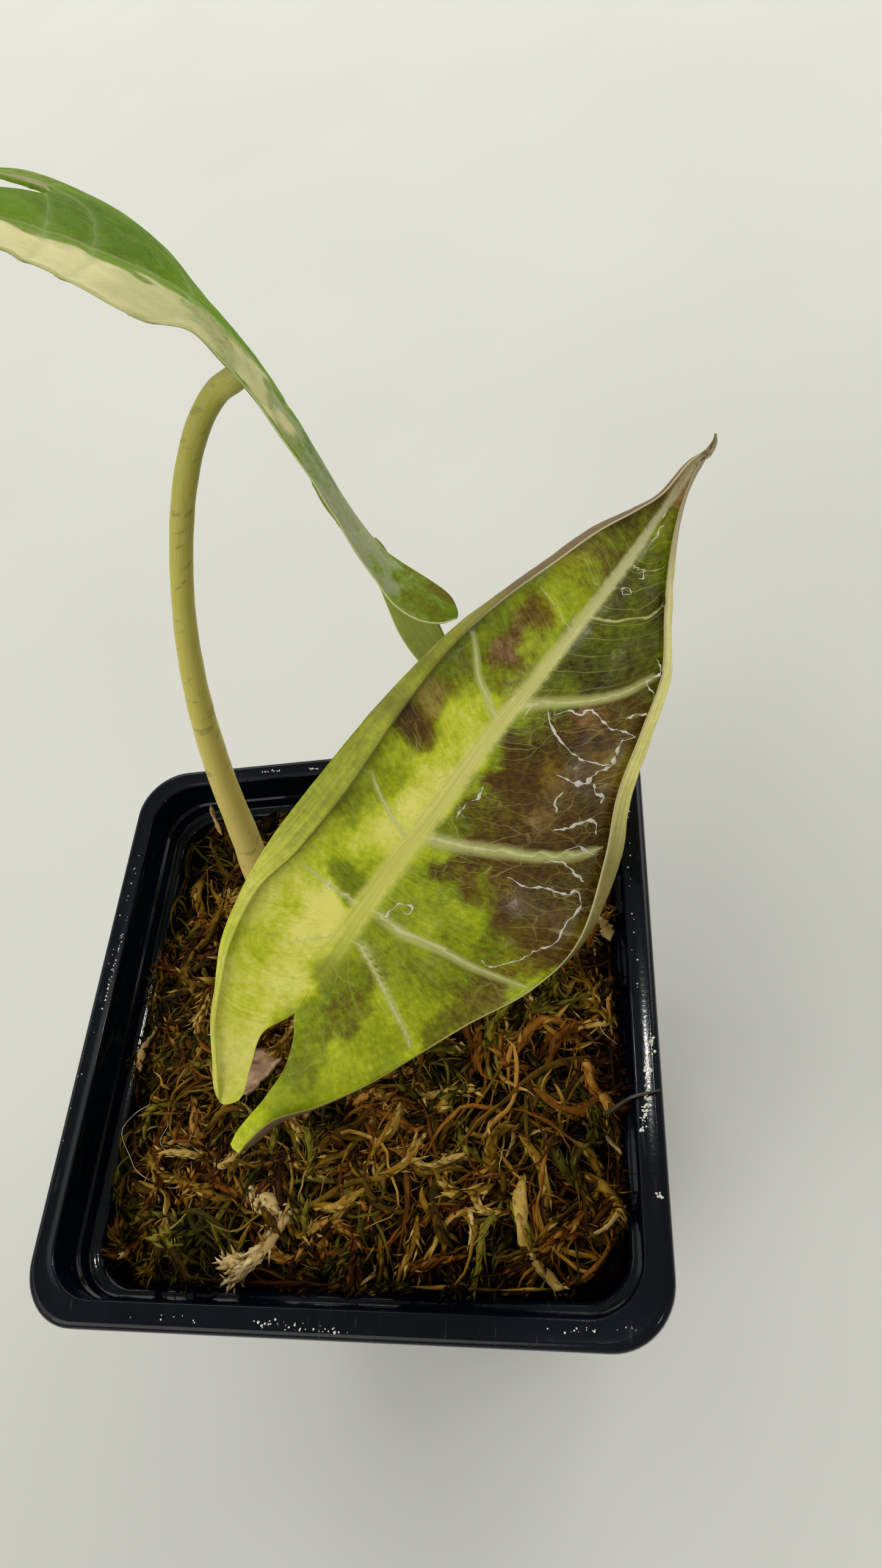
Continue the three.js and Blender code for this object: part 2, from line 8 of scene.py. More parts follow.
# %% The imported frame
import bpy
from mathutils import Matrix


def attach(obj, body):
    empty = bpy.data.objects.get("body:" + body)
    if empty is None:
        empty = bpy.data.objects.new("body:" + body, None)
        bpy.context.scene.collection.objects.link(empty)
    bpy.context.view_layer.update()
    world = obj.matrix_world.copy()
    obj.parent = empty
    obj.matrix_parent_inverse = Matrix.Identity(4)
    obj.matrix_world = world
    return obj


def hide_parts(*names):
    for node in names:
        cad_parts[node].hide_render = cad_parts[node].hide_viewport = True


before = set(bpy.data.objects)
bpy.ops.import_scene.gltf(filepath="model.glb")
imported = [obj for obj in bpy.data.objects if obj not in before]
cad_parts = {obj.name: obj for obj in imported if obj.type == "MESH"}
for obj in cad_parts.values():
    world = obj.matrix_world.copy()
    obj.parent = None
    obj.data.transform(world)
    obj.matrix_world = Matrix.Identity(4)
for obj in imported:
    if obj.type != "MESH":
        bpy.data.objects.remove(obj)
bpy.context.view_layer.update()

# %% Libraries and the unit
import math
from functools import partial
import bpy
import numpy as np
from mathutils import Matrix

MM = 0.001

# %% [markdown]
# ## The camera
# The rim of the pot is a square, so its four sides in the picture give the camera's place and lens. The
# plant is seen from above and from the right of the front, very close: about 13 cm from the front leaf.

# %% The camera: focus and height in pixels of the picture, sensor and place in millimetres
FOCUS = 1600
IMAGE_HEIGHT = 2569
SENSOR = 36
CAMERA_AT = (47.8, -46.9, 209.1)
CAMERA_RIGHT = (0.96910, 0.04770, -0.24200)
CAMERA_DOWN = (-0.08753, -0.85075, -0.51822)
CAMERA_SIGHT = (-0.23060, 0.52340, -0.82029)

lens = bpy.data.cameras.new("camera")
lens.sensor_width = SENSOR
lens.lens = FOCUS / IMAGE_HEIGHT * SENSOR
lens.clip_start = 0.005
camera = bpy.data.objects.new("camera", lens)
bpy.context.scene.collection.objects.link(camera)
turned = Matrix((CAMERA_RIGHT, [-c for c in CAMERA_DOWN], [-c for c in CAMERA_SIGHT])).transposed()
camera.matrix_world = Matrix.Translation([c * MM for c in CAMERA_AT]) @ turned.to_4x4()
bpy.context.scene.camera = camera
print("lens:", round(lens.lens, 2), "mm on a", SENSOR, "mm sensor")

# %% [markdown]
# ## Colours and shader nodes
# Colours are written as on a screen and made linear once. One function adds a shader node with its settings
# and links, and a few sets of settings that many nodes share have names of their own.

# %% Colour
def linear(code):
    """sRGB hex to linear: c / 12.92 up to 0.04045, and ((c + 0.055) / 1.055) ^ 2.4 above it."""
    channels = np.array([int(code[i:i + 2], 16) for i in (1, 3, 5)]) / 255
    light = np.where(channels <= 0.04045, channels / 12.92, ((channels + 0.055) / 1.055) ** 2.4)
    return (*light, 1.0)


# %% Shader nodes
SMOOTH = {"interpolation_type": "SMOOTHSTEP"}
RGBA = {"data_type": "RGBA"}
LESS = {"operation": "SUBTRACT"}
TIMES = {"operation": "MULTIPLY"}
TIMES_PLUS = {"operation": "MULTIPLY_ADD"}


def plug(node, inputs):
    """Fills inputs, by name or number: an output is linked, a hex colour made linear, a number kept."""
    for socket, value in inputs.items():
        if isinstance(value, bpy.types.NodeSocket):
            node.id_data.links.new(value, node.inputs[socket])
        else:
            node.inputs[socket].default_value = linear(value) if isinstance(value, str) else value


def add(material, kind, inputs=(), stops=(), output=None, **settings):
    """Adds a node and returns one of its outputs: the named one, or the first in use. stops are the places
    and colours of a ramp, and settings are the node's own properties."""
    node = material.node_tree.nodes.new("ShaderNode" + kind)
    for name, value in settings.items():
        setattr(node, name, value)
    plug(node, dict(inputs))
    for i, (place, code) in enumerate(stops):
        stop = node.color_ramp.elements[i] if i < 2 else node.color_ramp.elements.new(place)
        stop.position = place
        stop.color = linear(code)
    return node.outputs[output] if output else next(socket for socket in node.outputs if socket.enabled)


def new_material(name):
    """A material with its shader, and the function that adds a node to it."""
    material = bpy.data.materials.new(name)
    material.use_nodes = True
    print("material:", name)
    return material, material.node_tree.nodes["Principled BSDF"], partial(add, material)


# %% [markdown]
# ## Meshes from arrays
# A piece is made from an array of points and a list of arrays of faces. Tubes with closed ends, many copies
# of one pattern, and several meshes as one need only their faces numbered rightly.

# %% A piece that rides on the plant
def add_piece(name, points, faces, material, replaced=(), values=()):
    """points is (n, 3) in millimetres, faces a list of (m, 3) or (m, 4) index arrays, and values maps
    attribute names to n numbers."""
    mesh = bpy.data.meshes.new(name)
    corners = np.concatenate([np.full(len(part), part.shape[1]) for part in faces])
    loops = np.concatenate([part.ravel() for part in faces])
    mesh.vertices.add(len(points))
    mesh.vertices.foreach_set("co", (np.asarray(points) * MM).astype(np.float32).ravel())
    mesh.loops.add(len(loops))
    mesh.loops.foreach_set("vertex_index", loops.astype(np.int32))
    mesh.polygons.add(len(corners))
    mesh.polygons.foreach_set("loop_start", (np.cumsum(corners) - corners).astype(np.int32))
    mesh.polygons.foreach_set("use_smooth", np.full(len(corners), True))
    mesh.update(calc_edges=True)
    for key, numbers in dict(values).items():
        layer = mesh.attributes.new(key, "FLOAT", "POINT")
        layer.data.foreach_set("value", np.asarray(numbers, np.float32).ravel())
    mesh.materials.append(material)
    piece = bpy.data.objects.new(name, mesh)
    bpy.context.scene.collection.objects.link(piece)
    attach(piece, "root")
    if replaced:
        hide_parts(*replaced)
    print(name, "has", len(points), "points and", int(np.sum(corners - 2)), "triangles")
    return piece


# %% Numbering of faces
def grid_faces(rows, columns, closed=False):
    """Quads of a grid of points numbered row by row; closed joins the last column to the first."""
    across = np.arange(columns if closed else columns - 1)
    a = (np.arange(rows - 1)[:, None] * columns + across).ravel()
    b = (np.arange(rows - 1)[:, None] * columns + (across + 1) % columns).ravel()
    return np.stack([a, b, b + columns, a + columns], 1)


def tube_faces(rings, sides):
    """Faces of a closed tube whose points go ring by ring, with one more point for each end: quads round
    it, then a fan of triangles on the first ring and on the last."""
    this = np.arange(sides)
    after = (this + 1) % sides
    last = (rings - 1) * sides
    first_end = rings * sides
    fans = [np.stack([after, this, np.full(sides, first_end)], 1),
            np.stack([last + this, last + after, np.full(sides, first_end + 1)], 1)]
    return [grid_faces(rings, sides, closed=True), np.concatenate(fans)]


def repeated(faces, copies, size):
    """The same faces for many copies of a shape of size points."""
    return [((np.arange(copies) * size)[:, None, None] + part).reshape(-1, part.shape[1]) for part in faces]


def joined(parts):
    """Several meshes as one: each part is its points, a list of its face arrays, and arrays of its
    values."""
    points, faces, *values = zip(*parts)
    starts = np.cumsum([0] + [len(part) for part in points])
    faces = [part + start for lists, start in zip(faces, starts) for part in lists]
    return np.concatenate(points), faces, *(np.concatenate(part) for part in values)


# %% [markdown]
# ## Curves through points
# Leaf, stalk and moss all follow smooth curves through a few chosen points. The centripetal Catmull-Rom
# curve passes through every point and never loops, even where points lie close together.

# %% A curve through points
def through(points, t):
    """Centripetal Catmull-Rom: between two points, a cubic whose slopes at its ends come from the
    neighbours, weighted by the square roots of the distances. t counts points; points may be an array of
    whole curves."""
    def gap(a, b):
        return np.maximum(np.sum((a - b) ** 2, -1, keepdims=True) ** 0.25, 1e-4)

    points = np.asarray(points, float)
    ends = np.concatenate([2 * points[:1] - points[1:2], points, 2 * points[-1:] - points[-2:-1]])
    i = np.clip(np.floor(t).astype(int), 0, len(points) - 2)
    w = (t - i).reshape((-1,) + (1,) * (points.ndim - 1))
    p0, p1, p2, p3 = (ends[i + k] for k in range(4))
    d0, d1, d2 = gap(p0, p1), gap(p1, p2), gap(p2, p3)
    start = d1 * ((p1 - p0) / d0 - (p2 - p0) / (d0 + d1) + (p2 - p1) / d1)
    end = d1 * ((p2 - p1) / d1 - (p3 - p1) / (d1 + d2) + (p3 - p2) / d2)
    cubic = 2 * p1 - 2 * p2 + start + end
    square = 3 * p2 - 3 * p1 - 2 * start - end
    return cubic * w ** 3 + square * w ** 2 + start * w + p1


# %% Soft steps and random fields
def ramp(x, low, high):
    """Rises smoothly from 0 at low to 1 at high: 3 s^2 - 2 s^3 of the clipped share s."""
    s = np.clip((x - low) / (high - low), 0, 1)
    return s * s * (3 - 2 * s)


def wander(x, y, size, seed):
    """A smooth random field: six plane waves of about the given length in seeded directions, over 2.6,
    which keeps nearly all of it between -1 and 1."""
    draw = np.random.default_rng(seed)
    total = 0
    for _ in range(6):
        turn = draw.uniform(0, 2 * np.pi)
        phase = draw.uniform(0, 2 * np.pi)
        stretch = draw.uniform(0.7, 1.6)
        total = total + np.sin(2 * np.pi * stretch / size * (x * np.cos(turn) + y * np.sin(turn)) + phase)
    return total / 2.6


# %% [markdown]
# ## The shape of a leaf
# A kris plant's blade is an arrow: two lobes behind the stalk and a long point before it, with edges that
# wave and roll. It is a net of chosen points: each rib runs from the left margin over the left crest, where
# the edge rolls up, to the midrib, and on to the right crest and margin. The same points make the packed
# solid. Each leaf also has its place and its angles in degrees, how far its halves cup, how many steps are
# cut between two ribs, and the midrib's half width at its foot and at the tip.

# %% The front leaf's points: along the midrib, across to the right, lift
FRONT = {
    "at": (4, 7, 92.5), "heading": 49, "pitch": 13.5, "roll": 30.5, "cup": (-0.02, 0.05),
    "steps": 12, "midrib": (2.1, 0.55),
    "left_lobe": [
        ((-30.2, 1.2, 0.4), (-30.7, 0.6, 0.4), (-30.6, 0, 0.6)),
        ((-28.6, 2, 0.3), (-29.8, -1.2, 0.6), (-29.4, -0.8, 1.6)),
        ((-24.8, 0.6, 0), (-26, -4.5, 1), (-25.6, -4, 2)),
        ((-19.8, -0.9, 0), (-22.5, -7.4, 1), (-22.1, -6.8, 2)),
    ],
    "right_lobe": [
        ((-34.2, 4.6, 0.6), (-34.5, 5.5, 0.7), (-34.3, 6.3, 1.4)),
        ((-32, 4.4, 0.2), (-32.5, 7, 0.8), (-32.2, 6.2, 2.2)),
        ((-27.4, 4.7, 0), (-27.9, 8.2, 1), (-27.7, 7.2, 2.6)),
        ((-22, 4.4, 0), (-23.6, 11, 0.2), (-23.2, 11, 1.2)),
        ((-17.8, 2.8, 0), (-17.4, 14.6, -0.5), (-17, 14.8, 0.3)),
    ],
    "ribs": [
        ((-17.8, -9.1, 2.2), (-18.2, -9.9, 1), (-15.2, 1, 0), (-10.8, 17.4, -1), (-10.4, 17.8, -0.4)),
        ((-12.7, -11.4, 2.4), (-13.2, -12.8, 1), (-8, 0.3, 0), (-3.2, 20.4, -1), (-2.8, 21, -0.6)),
        ((-4.4, -12.8, 2.8), (-5.2, -15, 1), (0, 0, 0), (6.2, 24.8, -1.6), (6.5, 25.4, -0.8)),
        ((2.8, -11.6, 2.8), (1.8, -15.8, 1), (8.1, -0.1, 0), (15.6, 27, 0.2), (15.4, 26, 2.4)),
        ((14.2, -11.2, 2.8), (13.7, -15.7, 1), (16.3, 0.1, 0), (27.6, 25.1, -1.8), (26.9, 22.6, 0.6)),
        ((27.3, -11.8, 2.6), (26, -15.1, 1), (25.7, 0, 0), (35.8, 20.8, -0.4), (35, 18.6, 1.6)),
        ((39.3, -11.3, 2.4), (39.1, -13.3, 1), (34.7, 0, -0.2), (44.8, 17.9, -0.2), (44.4, 16, 1.6)),
        ((48, -9.6, 2), (47.9, -10.9, 0.6), (41.6, 0.3, -0.5), (53, 15.5, -2), (52.5, 13.9, -0.2)),
        ((55.5, -7.3, 1.6), (55.3, -8.6, 0.2), (49.9, 0.5, -1), (59.8, 10.4, -0.8), (59.2, 9.2, 0.8)),
        ((63.2, -5, 0.6), (63.3, -6.2, -0.8), (58.4, 0.7, -1.8), (65.8, 6.9, -2.4), (65, 6.1, -1)),
        ((69.2, -2.5, -0.4), (69.3, -3.2, -1.6), (66.1, 0.7, -2.6), (72, 3.4, -2.2), (71.6, 2.9, -1.2)),
        ((73.8, -1, -1.8), (73.8, -1.4, -2.8), (73, 0.5, -3.4), (77.2, 1.5, -3), (77, 1.3, -2.2)),
        ((80.4, -0.4, -2.6), (80.4, -0.6, -3.1), (80.6, 0.1, -3.3), (82, 0.5, -3.1), (81.8, 0.4, -2.6)),
        ((82.5, 0.45, -1.85), (82.5, 0.42, -1.95), (82.6, 0.63, -2), (82.7, 0.82, -1.95), (82.7, 0.8, -1.85)),
        ((84.1, 0.38, -1.2), (84.1, 0.37, -1.24), (84.15, 0.5, -1.24), (84.2, 0.64, -1.24),
         (84.2, 0.63, -1.2)),
        ((85.1, -0.13, -0.9), (85.1, -0.14, -0.91), (85.12, -0.1, -0.91), (85.14, -0.07, -0.91),
         (85.14, -0.07, -0.9)),
    ],
}
print("front leaf:", len(FRONT["ribs"]), "ribs through its midrib")

# %% The back leaf's points
BACK = {
    "at": (1.5, 61, 142), "heading": 162, "pitch": 56, "roll": 50, "cup": (0.04, 0.03),
    "steps": 7, "midrib": (0.9, 0.3),
    "left_lobe": [
        ((-38, -11.8, -6.6), (-38.2, -12.6, -6.8), (-37.8, -13.6, -7.2)),
        ((-36.8, -9.2, -5.8), (-36.4, -14, -8.3), (-35.8, -15.4, -8.9)),
        ((-34.5, -7, -6), (-33.8, -14.8, -9.8), (-33, -15.7, -10.4)),
        ((-32, -4.6, -6.6), (-30.6, -14.4, -10.6), (-29.5, -15, -10.9)),
    ],
    "right_lobe": [
        ((-49.3, 2.8, -14.8), (-49.4, 3.6, -15.6), (-49.2, 4.4, -16.3)),
        ((-46, 0.8, -12), (-46.4, 3.4, -15), (-46.4, 5, -16.6)),
        ((-41, -0.6, -9.8), (-41.2, 3, -13), (-41, 5.8, -15.4)),
        ((-35.5, -1.4, -8.3), (-36.3, 2.6, -10.8), (-36.4, 6.6, -13.2)),
    ],
    "ribs": [
        ((-25.5, -13.9, -10), (-26.4, -13.2, -10), (-29, -1.6, -7), (-31.8, 2.8, -9.2), (-32.8, 6.6, -11.4)),
        ((-21.3, -13.6, -8.9), (-22.3, -12.8, -9), (-24, -1.2, -6.4), (-26, 3.8, -7.8), (-27.4, 7.6, -9.4)),
        ((-16.6, -13.5, -7.3), (-17.5, -12.4, -7.4), (-18.4, -0.8, -5.1), (-19.6, 5.2, -6.4),
         (-20.2, 9.4, -8.2)),
        ((-11.8, -13.6, -5.9), (-12.2, -12.6, -5.8), (-12.6, -0.3, -3.2), (-14.2, 5.4, -4.6),
         (-15.2, 10, -6)),
        ((-6.3, -13.9, -4.6), (-6.3, -12.8, -4.4), (-6.3, 0, -1.2), (-7.8, 6.5, -2.2), (-9.2, 11.4, -3.2)),
        ((0, -15, -3), (0, -13.8, -2.8), (0, 0, 0), (-1, 7.4, 0), (-1.8, 13.4, -0.4)),
        ((4, -18.2, -2.6), (4.2, -16.9, -2.5), (5.2, -1.2, 0.5), (4.6, 7.2, 1), (4, 14.6, 0.9)),
        ((8.3, -20.4, -2.4), (8.5, -19.2, -2.3), (10, -2.3, 0.3), (10, 7.6, 1.8), (10, 16.4, 2)),
        ((12.1, -22, -4.6), (12.2, -20.9, -4.4), (14.4, -3.4, -0.7), (15.4, 7.8, 2.6), (16, 18.4, 3.2)),
        ((14.9, -22, -5.6), (14.9, -20.9, -5.4), (17.6, -4.2, -1.9), (19, 8, 1.9), (21, 20, 3)),
        ((17.9, -21.5, -6.3), (18, -20.3, -6.1), (20.7, -4.8, -3.1), (22.9, 8, 0.8), (26.4, 21.6, 1.6)),
        ((20.4, -20.4, -7), (20.6, -19.3, -6.9), (23.2, -5.2, -4.1), (25.8, 8.2, -0.4), (34, 24.6, -1.6)),
        ((21.4, -20, -7.3), (21.6, -18.9, -7.2), (24.2, -5.4, -4.6), (27.4, 8, -1.4), (38.2, 24.6, -5.4)),
        ((22.6, -19.8, -7.7), (22.8, -18.7, -7.6), (25.2, -5.6, -5.1), (28, 7.4, -1.8), (31, 16.2, -1.4)),
        ((24, -19.5, -8.2), (24.1, -18.4, -8.1), (26.4, -5.8, -5.7), (28.4, 6, -2.2), (28.6, 9.6, -1.8)),
        ((26, -19.2, -8.8), (26, -18, -8.7), (28, -6, -6.5), (31, 4.6, -4.4), (31.6, 8.4, -4.4)),
        ((31, -20.2, -12.5), (31, -19, -12.4), (34, -6.8, -10.6), (35.6, 4.6, -8.6), (36.6, 10.4, -8.4)),
        ((35.6, -17.8, -17.6), (35.6, -16.6, -17.6), (38.5, -7.6, -16.4), (40.6, 3.4, -15.4),
         (41.8, 10.4, -16)),
        ((38.8, -17.4, -26), (38.8, -16.2, -26), (41.5, -8.2, -24), (43.2, -0.8, -23), (44, 2.8, -22.6)),
        ((40.6, -13.4, -33.6), (40.6, -12.6, -33.6), (42.6, -8.8, -33), (43.4, -3.2, -33.2),
         (43.8, -0.8, -33.4)),
        ((39.8, -11.8, -43), (39.8, -11.4, -43), (41, -9.4, -42.5), (41.6, -7.2, -42.4), (41.8, -6.6, -42.4)),
        ((37.8, -10.4, -50.2), (37.8, -10.1, -50.2), (38, -9.8, -50), (38.2, -9.5, -50), (38.2, -9.2, -50)),
    ],
}
print("back leaf:", len(BACK["ribs"]), "ribs through its midrib")

# %% [markdown]
# ## From points to a surface
# Each half of a blade is a grid of two parameters. The rib number runs from lobe to tip, and the share
# across runs from the midrib to the margin. Curves go first along the four lines of chosen points, then
# across them.

# %% Half a blade
SHARES = np.linspace(0, 1, 79)


def half_blade(leaf, side):
    """The grid of one half, in the leaf's own frame, with each point's rib number and its distance from the
    margin. Between inner edge and crest lies a middle point, lifted by the cup times their distance."""
    order, cup = ((2, 1, 0), leaf["cup"][0]) if side == "left" else ((2, 3, 4), leaf["cup"][1])
    lobe = leaf[side + "_lobe"]
    rows = np.array(lobe + [[rib[k] for k in order] for rib in leaf["ribs"]], float)
    inner, crest, margin = rows[:, 0], rows[:, 1], rows[:, 2]
    middle = (inner + crest) / 2
    middle[:, 2] += cup * np.linalg.norm(crest - inner, axis=1)
    count = np.linspace(0, len(rows) - 1, (len(rows) - 1) * leaf["steps"] + 1)
    lines = np.stack([through(line, count) for line in (inner, middle, crest, margin)])
    surface = through(lines, SHARES * 3).transpose(1, 0, 2)
    step = np.linalg.norm(np.diff(surface, axis=1), axis=2)
    to_margin = np.pad(np.cumsum(step[:, ::-1], 1)[:, ::-1], ((0, 0), (0, 1)))
    return surface, count - len(lobe), to_margin


def leaf_axes(leaf):
    """Rows: along the midrib, across to the right, and lift, from heading, pitch and roll."""
    heading, pitch, roll = np.radians([leaf["heading"], leaf["pitch"], leaf["roll"]])
    along = np.array([np.cos(pitch) * np.cos(heading), np.cos(pitch) * np.sin(heading), np.sin(pitch)])
    level = np.array([np.sin(heading), -np.cos(heading), 0])
    upright = np.cross(level, along)
    across = level * np.cos(roll) - upright * np.sin(roll)
    lift = upright * np.cos(roll) + level * np.sin(roll)
    return np.array([along, across, lift])


# %% A sheet becomes a slab
def sheet_normals(points, quads):
    """Each point's normal: the summed cross products of the diagonals of its quads, made one long."""
    a, b, c, d = (points[quads[:, k]] for k in range(4))
    cross = np.cross(c - a, d - b)
    total = np.zeros_like(points)
    for k in range(4):
        np.add.at(total, quads[:, k], cross)
    return total / np.maximum(np.linalg.norm(total, axis=1, keepdims=True), 1e-9)


def slab(points, quads, up, down):
    """The sheet moved up its normals, the same moved down and turned over, and a strip round its open
    edges. An edge is open where no other quad runs along it the other way."""
    normal = sheet_normals(points, quads)
    count = len(points)
    both = np.concatenate([points + normal * up[:, None], points - normal * down[:, None]])
    edges = np.concatenate([quads[:, [k, (k + 1) % 4]] for k in range(4)])
    key = edges[:, 0] * count + edges[:, 1]
    back = edges[:, 1] * count + edges[:, 0]
    start, end = edges[~np.isin(key, back)].T
    strip = np.stack([end, start, start + count, end + count], 1)
    return both, np.concatenate([quads, quads[:, ::-1] + count, strip])


# %% The two halves share the midrib
def blade_sheet(leaf):
    """Points and quads of a whole blade, and for each point its rib number, share across, side (-1 left,
    1 right) and distance from the margin."""
    halves = [half_blade(leaf, side) for side in ("left", "right")]
    surface, ribs, to_margin = (np.concatenate(part) for part in zip(*halves))
    rows = len(halves[0][1])
    number = np.arange(surface.size // 3).reshape(surface.shape[:2])
    left, right = number[:rows], number[rows:]
    right[ribs[rows:] >= 0, 0] = left[ribs[:rows] >= 0, 0]
    left_quads = left.ravel()[grid_faces(*left.shape)][:, [0, 3, 2, 1]]
    right_quads = right.ravel()[grid_faces(*right.shape)]
    side = np.repeat([-1.0, 1.0], [left.size, right.size])
    used, renumbered = np.unique(np.concatenate([left_quads, right_quads]), return_inverse=True)
    return (surface.reshape(-1, 3)[used], renumbered.reshape(-1, 4), np.repeat(ribs, len(SHARES))[used],
            np.tile(SHARES, len(ribs))[used], side[used], to_margin.ravel()[used])


# %% [markdown]
# ## Where the veins run
# A few strong side veins leave the midrib of each half and bend towards the margin. On the front leaf they
# are given in the leaf's own plane; on the back leaf they follow its ribs. Between two veins every
# point gets a count, whole on a vein, and a reach, its distance along them, on which the fine net is drawn
# later.

# %% Distance to a vein
VEIN_STEPS = 24


def vein_distance(points, route):
    """Distance from every point to a smooth route, flat or in space, and the share of the route where it is
    nearest."""
    line = through(route, np.linspace(0, len(route) - 1, VEIN_STEPS))
    start, step = line[:-1], line[1:] - line[:-1]
    away = points[:, None, :line.shape[1]] - start[None]
    share = np.clip(np.sum(away * step, -1) / np.maximum(np.sum(step ** 2, -1), 1e-9), 0, 1)
    distance = np.linalg.norm(away - share[..., None] * step, axis=-1)
    nearest = np.argmin(distance, 1)
    rows = np.arange(len(points))
    return distance[rows, nearest], (nearest + share[rows, nearest]) / (VEIN_STEPS - 1)


# %% The front leaf's side veins: along, across
FRONT_VEINS = {
    "right": [
        [(-2.4, 2.7), (-4.4, 7.1), (-7, 12.1), (-8.9, 15.5), (-10.2, 16.9)],
        [(2.2, 2.5), (2.2, 6.6), (3.5, 11.9), (4.3, 17.4), (5.4, 22), (6.4, 25.2)],
        [(14.3, 0.4), (16, 4.6), (19, 10.3), (21.8, 15.3), (25.9, 20.1), (28.7, 21.9)],
        [(36.9, 0.7), (39.1, 2.9), (41.2, 5.6), (44.5, 9.1), (47.6, 11.4), (51.8, 13.3), (53.1, 14.2)],
        [(53.2, 1.2), (54.2, 3.7), (55.4, 5.5), (57.5, 7.5), (60, 8.3), (61.9, 8)],
        [(62.9, 1.1), (62.9, 2.6), (63.6, 4.1), (64.8, 5.1), (66.5, 5.4)],
    ],
    "left": [
        [(-2.4, 0.4), (-5, -2.4), (-7.5, -4.8), (-8.8, -7)],
        [(1.7, -0.8), (1.4, -4.5), (1.5, -8), (1.6, -11.5)],
        [(12.9, -1), (13.5, -2.9), (14.7, -5.8), (16.8, -9.6), (18.6, -11.6)],
        [(33.8, -0.7), (34.4, -2.6), (35.4, -3.9), (36.8, -6.3), (40, -9.3), (42.1, -11.3)],
        [(50.4, -1.2), (51.5, -4), (52.4, -7.6)],
        [(57.4, -1), (59.1, -4.4), (58.7, -5.7)],
    ],
}
FRONT_VEIN_WIDTHS = {"right": (1.3, 1.6, 2.2, 1.9, 0.5, 0.4), "left": (0.5, 0.8, 0.9, 1.5, 0.4, 0.3)}
print("side veins of the front leaf:", {half: len(routes) for half, routes in FRONT_VEINS.items()})

# %% The back leaf's side veins: the rib at which each leaves the midrib, and how many ribs it runs forward
BACK_VEIN_RIBS = (1, 4, 7, 10, 13, 16, 18, 20)
BACK_VEIN_SWEEP = 1.6
BACK_VEIN_WIDTHS = (0.9, 1.1, 1.3, 1.5, 1.4, 1.2, 0.8, 0.5)


def follow_ribs(points, ribs, shares, start):
    """A vein that begins at a rib of the midrib and moves forward with the square of the share across. It
    goes through the points nearest to those places, where a whole share across counts as much as 40 ** 0.5
    ribs."""
    along = np.linspace(0, 0.97, 12)
    wanted = start + BACK_VEIN_SWEEP * along ** 2
    nearest = [np.argmin((ribs - u) ** 2 + 40 * (shares - s) ** 2) for u, s in zip(wanted, along)]
    return points[nearest]


# %% Counts, reaches and distances on one half
LANE = 1.8
OPEN_GAP = 24
OPEN_SHARE = 0.48


def vein_fields(points, ribs, shares, routes, widths):
    """For each point: the number of veins behind it plus its share of the gap to the next, the width of
    that gap, the same count in lanes of about 1.8 mm, the distance along the veins, the half width of the
    nearest vein, which thins and then fades towards the margin, and the distance to it. Before the first
    vein and past the last there is no second one, so the gap is taken as open, and the share stays under a
    half."""
    distances, reaches, ahead, halves = [], [], [], []
    for route, width in zip(routes, widths):
        route = np.asarray(route, float)
        distance, along = vein_distance(points, route)
        nearest = [np.argmin(np.sum((points[:, :route.shape[1]] - p) ** 2, 1)) for p in route]
        order = np.argsort(shares[nearest])
        ahead.append(ribs > np.interp(shares, shares[nearest][order], ribs[nearest][order]))
        length = np.sum(np.linalg.norm(np.diff(route, axis=0), axis=1))
        distances.append(distance)
        reaches.append(along * length)
        halves.append(width / 2 * (1 - 0.5 * along) * (1 - ramp(along, 0.88, 1.0)))
    distances, reaches, halves = np.array(distances), np.array(reaches), np.array(halves)
    before = np.sum(ahead, axis=0)
    last = len(routes) - 1
    rows = np.arange(len(points))
    behind, front = np.clip(before - 1, 0, last), np.clip(before, 0, last)
    from_behind, to_front = distances[behind, rows], distances[front, rows]
    first_zone, last_zone = before == 0, before > last
    gap = np.where(first_zone | last_zone, OPEN_GAP, np.maximum(from_behind + to_front, 0.5))
    ahead = 1 - np.minimum(to_front / OPEN_GAP, OPEN_SHARE)
    share = np.where(first_zone, ahead, np.minimum(from_behind / gap, 1))
    share = np.where(last_zone, np.minimum(from_behind / OPEN_GAP, OPEN_SHARE), share)
    lanes = [max(2, round(np.median(gap[before == k]) / LANE)) if np.any(before == k) else 2
             for k in range(1, last + 1)]
    lanes = np.array([OPEN_GAP / LANE, *lanes, OPEN_GAP / LANE])
    lane = (np.cumsum(lanes) - lanes)[before] + share * lanes[before]
    blend = np.clip(share, 0, 1)
    reach = (1 - blend) * reaches[behind, rows] + blend * reaches[front, rows]
    nearer = np.where(from_behind < to_front, behind, front)
    return before + share, gap, lane, reach, halves[nearer, rows], np.min(distances, 0)


# %% [markdown]
# ## Painting the variegation
# The colours of a variegated leaf lie in patches with ragged edges. Each patch is a soft spot with a place,
# a size and three shares: how light the green is, how much of it is bronze, and how much is rose. The rose
# is partly the leaf's own pinkish brown and partly painted sheen: on the front leaf's wet right half it is a
# painted reflection of the water film, and on the back leaf a grey painted sheen where the blade turns away
# at a grazing angle. Every point takes the mean of the spots near it, and a random field pushes the point
# about first, which frays the edges.

# %% Soft spots
def paint(places, spots):
    """Mean of the spots' values, weighted by exp(-1.3 d^2), with d the distance in sizes of the spot."""
    table = np.array(spots, float)
    away = (places[:, None, :] - table[None, :, 0:2]) / table[None, :, 2:4]
    weight = np.exp(-1.3 * np.sum(away ** 2, -1)) + 1e-9
    return (weight @ table[:, 4:]) / weight.sum(1, keepdims=True)


